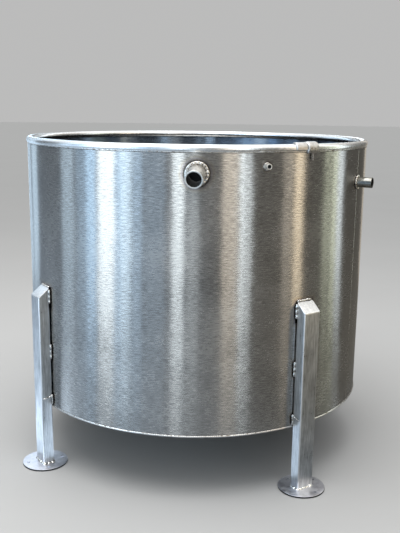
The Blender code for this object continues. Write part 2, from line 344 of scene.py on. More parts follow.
@cache
def heat_group() -> bpy.types.NodeTree:
    """Heat tint beside a weld: a near-black band at the weld, brown oxide, then blue and purple, then
    straw, fading into bare steel.

    Returns:
        The group. It takes the distance from the weld, how far the tint reaches, a place and how
        ragged the edge is, and gives the tint's colour and strength.
    """
    number = SocketKind.NUMBER
    takes = {"Distance": number, "Reach": number, "Vector": SocketKind.VECTOR, "Ragged": number}
    gives = {"Color": SocketKind.COLOUR, "Strength": number}
    sheet, (distance, reach, place, ragged), leave = open_group("heat_tint", takes, gives)
    rough = sheet.maths("SUBTRACT", sheet.noise(place, 85.0, 4.0, 0.7), 0.5)
    share = sheet.maths("ADD", sheet.maths("DIVIDE", distance, reach),
                        sheet.maths("MULTIPLY", rough, ragged))
    colours = ((0.0, (0.010, 0.008, 0.007)), (0.11, (0.016, 0.012, 0.009)),
               (0.20, (0.13, 0.09, 0.065)), (0.34, (0.23, 0.20, 0.22)),
               (0.52, (0.35, 0.28, 0.19)), (0.76, (0.44, 0.40, 0.32)), (1.0, (0.50, 0.48, 0.45)))
    sheet.feed(leave.inputs["Color"], sheet.ramp(share, colours))
    fade = sheet.maths("MAXIMUM", sheet.span(share, (0.10, 0.20), (1.0, 0.0)),
                       sheet.span(share, (0.14, 1.0), (0.72, 0.0)))
    sheet.feed(leave.inputs["Strength"], fade)
    return sheet.tree


@cache
def patch_group() -> bpy.types.NodeTree:
    """Soft patches where the steel has been wiped, handled or splashed.

    Returns:
        The group. It takes a place, patches per metre and how sharply they end, and gives a value
        from 0 to 1.
    """
    number = SocketKind.NUMBER
    takes = {"Vector": SocketKind.VECTOR, "Scale": number, "Sharpness": number}
    sheet, (place, scale, sharpness), leave = open_group("wiped_patches", takes,
                                                         {"Value": number})
    scaled = sheet.vector("MULTIPLY", place, sheet.combine(scale, scale, scale))
    centred = sheet.maths("SUBTRACT", sheet.noise(scaled, 1.0, 4.0, 0.58), 0.5)
    value = sheet.maths("ADD", sheet.maths("MULTIPLY", centred, sharpness), 0.5)
    sheet.feed(leave.inputs["Value"], sheet.span(value, (0.0, 1.0), (0.0, 1.0)))
    return sheet.tree


def open_material(name: str) -> tuple[bpy.types.Material, NodeSheet, bpy.types.Node]:
    """Start a material.

    Args:
        name: Its name.

    Returns:
        The material, a sheet for its nodes and its Principled shader.
    """
    material = bpy.data.materials.new(name)
    material.use_nodes = True
    sheet = NodeSheet(material.node_tree)
    return material, sheet, material.node_tree.nodes["Principled BSDF"]


@dataclass(frozen=True)
class HeatSpot:
    """Heat tint on the unrolled wall round one weld, or round a like weld at every leg."""

    u: float
    v: float
    half_u: float = 0.0
    half_v: float = 0.0
    radius: float = 0.0
    reach: float = 0.014
    ragged: float = 0.55
    strength: float = 0.8
    every: float = 0.0

    def lay(self, sheet: NodeSheet, place: Value, colour: Value) -> bpy.types.NodeSocket:
        """Lay the tint over a colour.

        Args:
            sheet: The material's nodes.
            place: Place on the unrolled wall.
            colour: The steel's colour so far.

        Returns:
            The tinted colour.
        """
        away = sheet.vector("SUBTRACT", place, (self.u, self.v, 0.0))
        if self.every:
            u, v, _ = sheet.split(away)
            half = self.every / 2
            away = sheet.combine(sheet.maths("WRAP", u, half, -half), v)
        past = sheet.vector("SUBTRACT", sheet.vector("ABSOLUTE", away),
                            (self.half_u, self.half_v, 0.0))
        distance = sheet.maths("SUBTRACT", sheet.vector("LENGTH", sheet.vector(
            "MAXIMUM", past, (0.0, 0.0, 0.0))), self.radius)
        tint = sheet.place(heat_group(), {"Distance": distance, "Reach": self.reach,
                                          "Vector": place, "Ragged": self.ragged})
        share = sheet.maths("MULTIPLY", tint.outputs["Strength"], self.strength)
        return sheet.blend(share, colour, tint.outputs["Color"])


@dataclass(frozen=True)
class BrushedSteel:
    """Stainless steel with brush marks along the U axis of its own UV map."""

    name: str
    light: Colour
    dark: Colour
    rough: Point = (0.21, 0.30)
    anisotropic: float = 1.0
    along: float = 38.0
    across: float = 270.0
    fine: float = 1700.0
    wander: float = 0.02
    relief: float = 0.00010
    sway: float = 0.0006
    sway_scale: float = 10.0
    patches: float = 7.0
    contrast: float = 0.15
    spots: tuple[HeatSpot, ...] = ()
    # Spacing along V of white lines laid on the corners as a painted highlight; 0 for none.
    painted_highlight_period: float = 0.0
    # Band along V below which the colour turns near-black as painted shade; None for none.
    painted_shade_band: Point | None = None
    painted_shade_colour: Colour = (0.020, 0.021, 0.023)

    def make(self) -> bpy.types.Material:
        """Build the material.

        Returns:
            The material.
        """
        material, sheet, shader = open_material(self.name)
        place = sheet.add("ShaderNodeUVMap", uv_map=UV_NAME).outputs[0]
        streak = sheet.place(grain_group(), {"Vector": place, "Along": self.along,
                                             "Across": self.across,
                                             "Wander": self.wander}).outputs[0]
        hair = sheet.place(grain_group(), {"Vector": place, "Along": 3 * self.along,
                                           "Across": self.fine,
                                           "Wander": self.wander}).outputs[0]
        patch = sheet.place(patch_group(), {"Vector": place, "Scale": self.patches,
                                            "Sharpness": 2.2}).outputs[0]
        marks = sheet.maths("ADD", sheet.maths("MULTIPLY", streak, 0.6),
                            sheet.maths("MULTIPLY", hair, 0.4))
        edges = (0.5 - self.contrast, 0.5 + self.contrast)
        tone = sheet.span(marks, edges, (0.0, 1.0))
        tone = sheet.maths("ADD", sheet.maths("MULTIPLY", tone, 0.7),
                           sheet.maths("MULTIPLY", patch, 0.3))
        colour = sheet.blend(tone, self.dark, self.light)
        for spot in self.spots:
            colour = spot.lay(sheet, place, colour)
        # Painted highlight: white lines along the corners of the box section.
        if self.painted_highlight_period:
            across = sheet.maths("WRAP", sheet.split(place)[1], self.painted_highlight_period, 0.0)
            off = sheet.maths("ABSOLUTE", sheet.maths("SUBTRACT", across, self.painted_highlight_period / 2))
            corner = sheet.span(off, (0.0012, 0.0030), (1.0, 0.0))
            colour = sheet.blend(corner, colour, (1.0, 1.0, 1.0))
        # Painted shade: the colour goes near-black below the band.
        if self.painted_shade_band:
            depth = sheet.span(sheet.split(place)[1], self.painted_shade_band, (1.0, 0.0))
            colour = sheet.blend(depth, colour, self.painted_shade_colour)
        sheet.feed(shader.inputs["Base Color"], colour)
        sheet.feed(shader.inputs["Metallic"], 1.0)
        uneven = sheet.maths("ADD", sheet.maths("MULTIPLY", marks, 0.6),
                             sheet.maths("MULTIPLY", patch, 0.4))
        sheet.feed(shader.inputs["Roughness"], sheet.span(uneven, (0.25, 0.75), self.rough))
        sheet.feed(shader.inputs["Anisotropic"], self.anisotropic)
        sheet.feed(shader.inputs["Anisotropic Rotation"], 0.25)
        tangent = sheet.add("ShaderNodeTangent", direction_type="UV_MAP", uv_map=UV_NAME)
        sheet.feed(shader.inputs["Tangent"], tangent.outputs[0])
        slow = sheet.noise(place, self.sway_scale, 2.0)
        height = sheet.maths("ADD", sheet.maths("MULTIPLY", marks, self.relief),
                             sheet.maths("MULTIPLY", slow, self.sway))
        bump = sheet.add("ShaderNodeBump", {"Strength": 1.0, "Distance": 1.0, "Height": height})
        sheet.feed(shader.inputs["Normal"], bump.outputs[0])
        return material


@dataclass(frozen=True)
class GroundSteel:
    """Plate or turned steel without a strong grain, worn and wiped in patches."""

    name: str
    light: Colour
    dark: Colour
    rough: Point = (0.24, 0.40)
    patches: float = 45.0
    grit: float = 900.0
    relief: float = 0.00004

    def make(self) -> bpy.types.Material:
        """Build the material.

        Returns:
            The material.
        """
        material, sheet, shader = open_material(self.name)
        place = sheet.add("ShaderNodeTexCoord").outputs["Object"]
        patch = sheet.place(patch_group(), {"Vector": place, "Scale": self.patches,
                                            "Sharpness": 2.6}).outputs[0]
        grit = sheet.noise(place, self.grit, 3.0, 0.6)
        tone = sheet.maths("ADD", sheet.maths("MULTIPLY", patch, 0.75),
                           sheet.maths("MULTIPLY", grit, 0.25))
        sheet.feed(shader.inputs["Base Color"], sheet.blend(tone, self.dark, self.light))
        sheet.feed(shader.inputs["Metallic"], 1.0)
        sheet.feed(shader.inputs["Roughness"], sheet.span(tone, (0.2, 0.8), self.rough))
        height = sheet.maths("ADD", sheet.maths("MULTIPLY", patch, 2.0), grit)
        bump = sheet.add("ShaderNodeBump", {"Strength": 1.0, "Distance": self.relief,
                                            "Height": height})
        sheet.feed(shader.inputs["Normal"], bump.outputs[0])
        return material


@dataclass(frozen=True)
class WeldMetal:
    """Rippled weld metal: bright drops with brown and straw oxide, and painted shade in the gaps
    between the drops and along the bead's edges.
    """

    name: str
    bright: Colour
    oxide: Colour
    rough: Point = (0.16, 0.42)
    speckle: float = 330.0
    oxide_share: float = 0.45
    # Near-black painted shade for the gaps between drops and along the bead's edges.
    gap: Colour = (0.020, 0.015, 0.012)
    painted_shade_gap_share: float = 0.24
    painted_shade_edge_from: float = 0.78

    def make(self) -> bpy.types.Material:
        """Build the material.

        Returns:
            The material.
        """
        material, sheet, shader = open_material(self.name)
        place = sheet.add("ShaderNodeTexCoord").outputs["Object"]
        patch = sheet.place(patch_group(), {"Vector": place, "Scale": self.speckle,
                                            "Sharpness": 4.0}).outputs[0]
        edge = (1.0 - self.oxide_share, 1.0)
        colour = sheet.blend(sheet.span(patch, edge, (0.0, 1.0)), self.bright, self.oxide)
        bead = sheet.add("ShaderNodeUVMap", uv_map=UV_NAME).outputs[0]
        drop = sheet.maths("FRACT", sheet.split(bead)[0])
        off = sheet.maths("ABSOLUTE", sheet.maths("SUBTRACT", drop, 0.5))
        across = sheet.maths("ABSOLUTE", sheet.split(bead)[1])
        # Painted shade: darkest between the drops and along the bead's two edges.
        gap = sheet.maths("MAXIMUM", sheet.span(off, (0.5 - self.painted_shade_gap_share / 2, 0.5), (0.0, 1.0)),
                          sheet.span(across, (self.painted_shade_edge_from, self.painted_shade_edge_from + 0.2), (0.0, 1.0)))
        sheet.feed(shader.inputs["Base Color"], sheet.blend(gap, colour, self.gap))
        sheet.feed(shader.inputs["Metallic"], 1.0)
        sheet.feed(shader.inputs["Roughness"], sheet.span(patch, (0.2, 1.0), self.rough))
        bump = sheet.add("ShaderNodeBump", {"Strength": 1.0, "Distance": 0.00005,
                                            "Height": sheet.noise(place, 1400.0, 3.0)})
        sheet.feed(shader.inputs["Normal"], bump.outputs[0])
        return material


@dataclass(frozen=True)
class PaintedShadeFinish:
    """Near-black finish that stands for shade: painted shade on the foot plates' cut edges and inside
    the pipe stubs' bores.
    """

    name: str
    light: Colour = (0.030, 0.029, 0.028)
    dark: Colour = (0.010, 0.010, 0.010)
    metallic: float = 0.6
    rough: float = 0.5

    def make(self) -> bpy.types.Material:
        """Build the material.

        Returns:
            The material.
        """
        material, sheet, shader = open_material(self.name)
        place = sheet.add("ShaderNodeTexCoord").outputs["Object"]
        marks = sheet.noise(sheet.vector("MULTIPLY", place, (900.0, 900.0, 120.0)), 1.0, 3.0)
        sheet.feed(shader.inputs["Base Color"], sheet.blend(marks, self.dark, self.light))
        sheet.feed(shader.inputs["Metallic"], self.metallic)
        rough = (self.rough - 0.08, self.rough + 0.08)
        sheet.feed(shader.inputs["Roughness"], sheet.span(marks, (0.3, 0.7), rough))
        return material


@dataclass(frozen=True)
class PaleFloor:
    """Plain pale floor of the studio."""

    name: str
    colour: Colour = (0.50, 0.502, 0.498)
    warm_mirrored: Colour = (0.15, 0.14, 0.12)
    cool_mirrored: Colour = (0.31, 0.37, 0.44)

    def make(self) -> bpy.types.Material:
        """Build the material.

        Returns:
            The material.
        """
        material, sheet, shader = open_material(self.name)
        place = sheet.add("ShaderNodeTexCoord").outputs["Object"]
        cloud = sheet.place(patch_group(), {"Vector": place, "Scale": 1.7,
                                            "Sharpness": 1.5}).outputs[0]
        darker = tuple(0.96 * part for part in self.colour)
        seen = sheet.blend(cloud, darker, self.colour)
        # Reflection rays see a dimmer floor, cool towards azimuth -124 and warm on the far side: a
        # painted reflection.
        mirrored = sheet.add("ShaderNodeLightPath").outputs["Is Glossy Ray"]
        cool = sheet.span(sheet.vector("DOT_PRODUCT", place, tuple(outward(-124.0))),
                          (-0.9, 0.9), (0.0, 1.0))
        dim = sheet.blend(cool, self.warm_mirrored, self.cool_mirrored)
        sheet.feed(shader.inputs["Base Color"], sheet.blend(mirrored, seen, dim))
        sheet.feed(shader.inputs["Roughness"], 0.7)
        sheet.feed(shader.inputs["Specular IOR Level"], 0.0)
        return material


Finish = BrushedSteel | GroundSteel | WeldMetal | PaintedShadeFinish | PaleFloor


@cache
def material_of(finish: Finish) -> bpy.types.Material:
    """The one material of a finish."""
    return finish.make()


@dataclass(frozen=True)
class Piece:
    """Name and place in the model of a finished mesh."""

    name: str
    slot: Slot
    nodes: tuple[str, ...] = ()
    smooth: float = 40.0

    def make(self, bm: bmesh.types.BMesh, *finishes: Finish) -> bpy.types.Object:
        """Turn a bmesh into a piece that rides on the tank.

        Args:
            bm: The mesh, which is freed.
            *finishes: Finishes of its material slots.

        Returns:
            The piece's object.
        """
        mesh = bpy.data.meshes.new(self.name)
        bm.to_mesh(mesh)
        bm.free()
        mesh.shade_smooth()
        mesh.set_sharp_from_angle(angle=math.radians(self.smooth))
        for finish in finishes:
            mesh.materials.append(material_of(finish))
        obj = bpy.data.objects.new(self.name, mesh)
        bpy.context.scene.collection.objects.link(obj)
        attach(obj, BODY)
        if self.nodes:
            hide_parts(*self.nodes)
        LOG.info("%s: %d faces for %s", self.name, len(mesh.polygons), self.nodes or "no node")
        return obj


def face_out(bm: bmesh.types.BMesh) -> bmesh.types.BMesh:
    """Merge a closed mesh's doubles and turn its faces outwards."""
    bmesh.ops.remove_doubles(bm, verts=bm.verts, dist=MERGE)
    bmesh.ops.recalc_face_normals(bm, faces=bm.faces)
    return bm


def turned(profile: Sequence[Point], steps: int) -> bmesh.types.BMesh:
    """Turn a closed profile round the Z axis.

    Args:
        profile: Points of radius and height.
        steps: Steps in the full turn.

    Returns:
        A closed mesh.
    """
    bm = bmesh.new()
    points = [bm.verts.new((0.0, -radius, z)) for radius, z in profile]
    edges = [bm.edges.new(pair) for pair in zip(points, points[1:] + points[:1])]
    bmesh.ops.spin(bm, geom=points + edges, cent=(0, 0, 0), axis=UP, angle=math.tau, steps=steps,
                   use_merge=True)
    return face_out(bm)


def turned_solid(profile: Sequence[Point], steps: int) -> bmesh.types.BMesh:
    """Turn an open profile that starts and ends on the Z axis into a closed solid."""
    bm = bmesh.new()
    points = [bm.verts.new((0.0, -radius, z)) for radius, z in profile]
    edges = [bm.edges.new(pair) for pair in zip(points, points[1:])]
    bmesh.ops.spin(bm, geom=points + edges, cent=(0, 0, 0), axis=UP, angle=math.tau, steps=steps,
                   use_merge=True)
    return face_out(bm)


def swept(section: Sequence[Point], start: float, end: float, steps: int) -> bmesh.types.BMesh:
    """Sweep a closed section of radius and height between two azimuths.

    Args:
        section: The section's points.
        start: Azimuth of its first end.
        end: Azimuth of its other end.
        steps: Steps between them.

    Returns:
        A closed mesh.
    """
    bm = bmesh.new()
    first = outward(start)
    face = bm.faces.new([bm.verts.new(first * radius + UP * z) for radius, z in section])
    bmesh.ops.spin(bm, geom=[face], cent=(0, 0, 0), axis=UP, angle=math.radians(end - start),
                   steps=steps)
    return face_out(bm)


def rod(radius: float, low: float, high: float, sides: int,
        place: Matrix | None = None) -> bmesh.types.BMesh:
    """A round bar along local Z."""
    bm = bmesh.new()
    middle = (place or Matrix()) @ Matrix.Translation((0, 0, (low + high) / 2))
    bmesh.ops.create_cone(bm, cap_ends=True, segments=sides, radius1=radius, radius2=radius,
                          depth=high - low, matrix=middle)
    return bm


def join(bm: bmesh.types.BMesh, parts: Iterable[bmesh.types.BMesh]) -> bmesh.types.BMesh:
    """Add the parts to a mesh and free them."""
    for part in parts:
        mesh = bpy.data.meshes.new("part")
        part.to_mesh(mesh)
        part.free()
        bm.from_mesh(mesh)
        bpy.data.meshes.remove(mesh)
    return bm


def carved(bm: bmesh.types.BMesh, cutters: Sequence[bmesh.types.BMesh]) -> bmesh.types.BMesh:
    """Cut closed shapes out of a closed shape.

    Args:
        bm: The shape, which is freed.
        cutters: What is cut out of it, also freed.

    Returns:
        The shape with its cuts.
    """
    made = []
    for shape in (bm, *cutters):
        mesh = bpy.data.meshes.new("blank")
        shape.to_mesh(mesh)
        shape.free()
        obj = bpy.data.objects.new("blank", mesh)
        bpy.context.scene.collection.objects.link(obj)
        made.append(obj)
    for cutter in made[1:]:
        boolean = made[0].modifiers.new("cut", "BOOLEAN")
        boolean.operation = "DIFFERENCE"
        boolean.solver = "EXACT"
        boolean.object = cutter
    bpy.context.view_layer.update()
    whole = made[0].evaluated_get(bpy.context.evaluated_depsgraph_get())
    result = bmesh.new()
    result.from_mesh(whole.to_mesh())
    whole.to_mesh_clear()
    for obj in made:
        mesh = obj.data
        bpy.data.objects.remove(obj)
        bpy.data.meshes.remove(mesh)
    return result


def lay_uv(bm: bmesh.types.BMesh, place: Callable[[Vector], Point], turn: Point = (0.0, 0.0)) -> None:
    """Lay a UV map in metres.

    Args:
        bm: The mesh.
        place: Gives the place on the unrolled surface of a point.
        turn: Length of a full turn along U and V, or 0 where there is none.
    """
    layer = bm.loops.layers.uv.get(UV_NAME) or bm.loops.layers.uv.new(UV_NAME)
    for face in bm.faces:
        centre = place(face.calc_center_median())
        for loop in face.loops:
            spot = list(place(loop.vert.co))
            for axis, length in enumerate(turn):
                if length:
                    spot[axis] += length * round((centre[axis] - spot[axis]) / length)
            loop[layer].uv = spot


@dataclass(frozen=True)
class WeldBead:
    """A bead laid as overlapping drops along a path.

    The path gives a frame for each share of its length: X along it, Y across and Z off the metal.
    """

    path: Path
    length: float
    out: float
    back: float
    height: float
    root: float
    pitch: float
    closed: bool = False
    notch: float = 0.4
    curl: float = 0.35
    tilt: float = 0.0
    uneven: float = 0.14
    sides: int = 12
    rows: int = 6
    seed: float = 0.0
    heavier: float = 0.0

    def drop_at(self, row: float, across: float) -> float:
        """Place along the bead counted in drops, which are curved and may lie aslant."""
        return row / self.rows + self.curl * across * across + self.tilt * across

    def ripple(self, share: float) -> float:
        """Depth of the ripples at a share of the way along, less where the bead is ground flat."""
        return 0.5 + 0.5 * math.cos(math.tau * share) if self.heavier else 1.0

    def mark_at(self, row: float, across: float, steps: int) -> float:
        """Place counted in drops, kept off the dark gaps where the bead is ground flat."""
        drop = self.drop_at(row, across)
        if not self.heavier:
            return drop
        middle = math.floor(drop) + 0.5
        return middle + (drop - middle) * min(1.0, 0.25 + self.ripple(row / steps))

    def swell(self, drop: float, share: float) -> float:
        """Height of the bead's top at a place counted in drops, as a share of its full height."""
        phase = drop - math.floor(drop)
        hollow = 1.0 - math.sqrt(max(0.0, 1.0 - (2.0 * phase - 1.0) ** 2))
        return 1.0 - self.notch * self.ripple(share) * hollow

    def size(self, drop: float, drops: int) -> float:
        """Size of the drop at a place counted in drops, as a share of the usual size."""
        number = math.floor(drop) % drops
        return 1.0 + self.uneven * noise.noise(Vector((7.31 * number, self.seed, 0.37)))

    def taper(self, along: float) -> float:
        """Share of its full size that the bead has this far along it."""
        if self.closed:
            return 1.0 + self.heavier * math.cos(math.tau * along / self.length)
        share = min(1.0, min(along, self.length - along) / max(self.out, self.height))
        return max(0.04, math.sqrt(max(0.0, share * (2.0 - share))))

    def lay(self) -> bmesh.types.BMesh:
        """Build the bead.

        Returns:
            A closed mesh.
        """
        drops = max(1, round(self.length / self.pitch))
        steps = drops * self.rows
        stride = self.length / steps
        bm = bmesh.new()
        bmesh.ops.create_cone(bm, cap_ends=not self.closed, segments=self.sides, radius1=1.0,
                              radius2=1.0, depth=self.length, matrix=Matrix.Translation(
                                  (self.length / 2, 0, 0)) @ Matrix.Rotation(math.pi / 2, 4, "Y"))
        runs = [edge for edge in bm.edges if abs(edge.verts[0].co.x - edge.verts[1].co.x) > stride]
        bmesh.ops.subdivide_edges(bm, edges=runs, cuts=steps - 1)
        lay_uv(bm, lambda place: (self.mark_at(place.x / stride, place.y, steps), place.y))
        frames = [self.path(row / steps) for row in range(steps + 1)]
        for vert in bm.verts:
            x, y, z = vert.co
            row = min(steps, max(0, round(x / stride)))
            drop = self.drop_at(row, y)
            full = self.size(drop, drops) * self.taper(x)
            swell = self.swell(drop, row / steps)
            y *= (self.out if y > 0 else self.back) * full * (0.8 + 0.2 * swell)
            z *= self.height * full * swell if z > 0 else self.root
            vert.co = frames[row] @ Vector((0.0, y, z))
        return face_out(bm)


def straight(start: Vector, end: Vector, off: Vector) -> Path:
    """Path along a straight line, with a direction off the metal."""
    return lambda share: facing(start.lerp(end, share), end - start, off)


def hoop(radius: float, z: float, lift: float, start: float = 0.0) -> Path:
    """Path round the tank's axis.

    Args:
        radius: Its radius.
        z: Its height.
        lift: Angle above level of the way off the metal, in degrees.
        start: Azimuth that it starts from.

    Returns:
        The path.
    """
    level, rise = math.cos(math.radians(lift)), math.sin(math.radians(lift))

    def frame_at(share: float) -> Matrix:
        """Frame at a share of the way round."""
        azimuth = start + 360.0 * (share % 1.0)
        away = outward(azimuth)
        return facing(away * radius + UP * z, sideways(azimuth), away * level + UP * rise)

    return frame_at


def smooth_line(points: Sequence[Vector], off: Vector) -> Path:
    """Path through chosen points on one smooth curve.

    Args:
        points: The points, at like distances.
        off: Direction off the metal.

    Returns:
        The path.
    """
    ends = [points[0] * 2 - points[1], *points, points[-1] * 2 - points[-2]]

    def spot(share: float) -> Vector:
        """Point at a share of the way along."""
        place = min(max(share, 0.0), 1.0) * (len(points) - 1)
        index = min(int(place), len(points) - 2)
        t = place - index
        a, b, c, d = ends[index:index + 4]
        return (b * 2 + (c - a) * t + (a * 2 - b * 5 + c * 4 - d) * t ** 2
                + (b * 3 - a - c * 3 + d) * t ** 3) / 2

    def frame_at(share: float) -> Matrix:
        """Frame at a share of the way along."""
        step = 0.01
        return facing(spot(share), spot(share + step) - spot(share - step), off)

    return frame_at


SHEET_LIGHT = (0.57, 0.565, 0.55)
SHEET_DARK = (0.21, 0.206, 0.20)
FITTING = GroundSteel("turned_fitting", (0.80, 0.79, 0.77), (0.58, 0.57, 0.54), (0.28, 0.42))
# Near-black painted shade inside the stubs' bores.
DARK_BORE = PaintedShadeFinish("dark_bore", (0.008, 0.008, 0.007), (0.003, 0.003, 0.003), 0.0, 0.9)
# A darker copy of the fitting steel for the side pipe: painted shade.
SHADED_SIDE_STEEL = GroundSteel("side_pipe_painted_shade", (0.34, 0.34, 0.31), (0.12, 0.11, 0.10), (0.10, 0.18), 90.0)
JOINT_STEEL = GroundSteel("joint_steel", (0.66, 0.65, 0.64), (0.38, 0.37, 0.36), (0.26, 0.40), 110.0)
BOLT_STEEL = GroundSteel("bolt_steel", (0.34, 0.32, 0.30), (0.10, 0.09, 0.08), (0.20, 0.40), 300.0)
RING_WELD = WeldMetal("ring_weld", (0.72, 0.70, 0.66), (0.17, 0.12, 0.09), oxide_share=0.55)
DRESSED_WELD = WeldMetal("dressed_weld", (0.66, 0.65, 0.63), (0.25, 0.22, 0.19), (0.24, 0.42),
                         120.0, 0.35)
# Inner wall: its blue colours are a painted reflection of cool light, and below its band it turns
# near-black as painted shade inside the tank.
INNER_SHEET = BrushedSteel("inner_sheet", (0.30, 0.37, 0.46), (0.14, 0.18, 0.24), (0.18, 0.26),
                           painted_shade_band=(0.795, 0.825))


@dataclass
class PipeFitting:
    """A pipe stub on the wall, with the bead that holds it."""

    name: str
    plan: Plan
    azimuth: float
    z: float
    radius: float
    bore: float
    reach: float
    bead_reach: float
    bead_height: float
    droop: float = 0.0
    yaw: float = 0.0
    pitch: float = 0.007
    notch: float = 0.45
    chamfer: float = 0.0007
    steps: int = 96
    seed: float = 0.0
    heavier: float = 0.0
    finish: GroundSteel = FITTING

    @property
    def root(self) -> Vector:
        """Where the stub's axis meets the wall."""
        return self.plan.on_wall(self.azimuth, self.z)

    @property
    def way(self) -> Vector:
        """Direction of the stub's axis."""
        fall = math.radians(self.droop)
        return outward(self.azimuth + self.yaw) * math.cos(fall) - UP * math.sin(fall)

    @property
    def place(self) -> Matrix:
        """Matrix that carries local Z to the stub's axis."""
        return facing(self.root, sideways(self.azimuth + self.yaw), self.way)

    def bore_cutter(self) -> bmesh.types.BMesh:
        """What is cut out of the wall for the stub's bore."""
        slack = 0.0002
        depth = self.radius + 2 * self.plan.sheet
        return rod(self.bore + slack, -depth, depth, self.steps, self.place)

    def build_stub(self) -> bpy.types.Object:
        """Turn the stub and cut its root to the wall.

        Returns:
            The stub's object.
        """
        depth, edge = self.radius, self.chamfer
        outer = arc((self.radius - edge, self.reach - edge), edge, 0, 90, 4)
        inner = arc((self.bore + edge, self.reach - edge), edge, 90, 180, 4)
        bm = turned([(self.bore, -depth), (self.radius, -depth), *outer, *inner], self.steps)
        bmesh.ops.transform(bm, matrix=self.place, verts=bm.verts)
        half_sheet = self.plan.sheet / 2
        core = rod(self.plan.radius - half_sheet, self.z - 0.1, self.z + 0.1, 360)
        bm = carved(bm, [core])
        # Faces inside the bore take the near-black painted shade.
        inside = self.place.inverted()
        for face in bm.faces:
            centre = inside @ face.calc_center_median()
            middle = (self.bore + self.radius) / 2
            face.material_index = int(math.hypot(centre.x, centre.y) < middle - edge
                                      and centre.z < self.reach - edge / 3)
        piece = Piece(f"{self.name}_stub", Slot.FITTING, (self.name,))
        return piece.make(bm, self.finish, DARK_BORE)

    def meeting(self, share: float) -> Vector:
        """Point of the line where the stub's outside meets the wall."""
        turn = math.tau * share
        side = self.place.to_3x3() @ Vector((math.cos(turn), math.sin(turn), 0.0))
        start, way = self.root + side * self.radius, self.way
        a = way.x ** 2 + way.y ** 2
        b = start.x * way.x + start.y * way.y
        c = start.x ** 2 + start.y ** 2 - self.plan.radius ** 2
        return start + way * ((math.sqrt(b * b - a * c) - b) / a)

    def build_bead(self) -> bpy.types.Object:
        """Lay the bead round the stub's root.

        Returns:
            The bead's object.
        """
        half = (self.bead_reach - self.radius) / 2

        def path(share: float) -> Matrix:
            """Frame beside the line where stub and wall meet, with Y away from the stub."""
            here, step = self.meeting(share), 0.002
            ahead = self.meeting(share + step) - self.meeting(share - step)
            frame_here = facing(here, -ahead, outward(azimuth_of(here)))
            return frame_here @ Matrix.Translation((0.0, half, 0.0))

        length = math.tau * (self.radius + half)
        bead = WeldBead(path, length, out=half, back=1.15 * half, height=self.bead_height,
                        root=0.0012, pitch=self.pitch, closed=True, notch=self.notch,
                        seed=self.seed, sides=16, rows=8, heavier=self.heavier)
        return Piece(f"{self.name}_bead", Slot.WELD, (f"{self.name}_weld",)).make(
            bead.lay(), RING_WELD)

    def build(self) -> None:
        """Build the stub and its bead."""
        self.build_stub()
        self.build_bead()


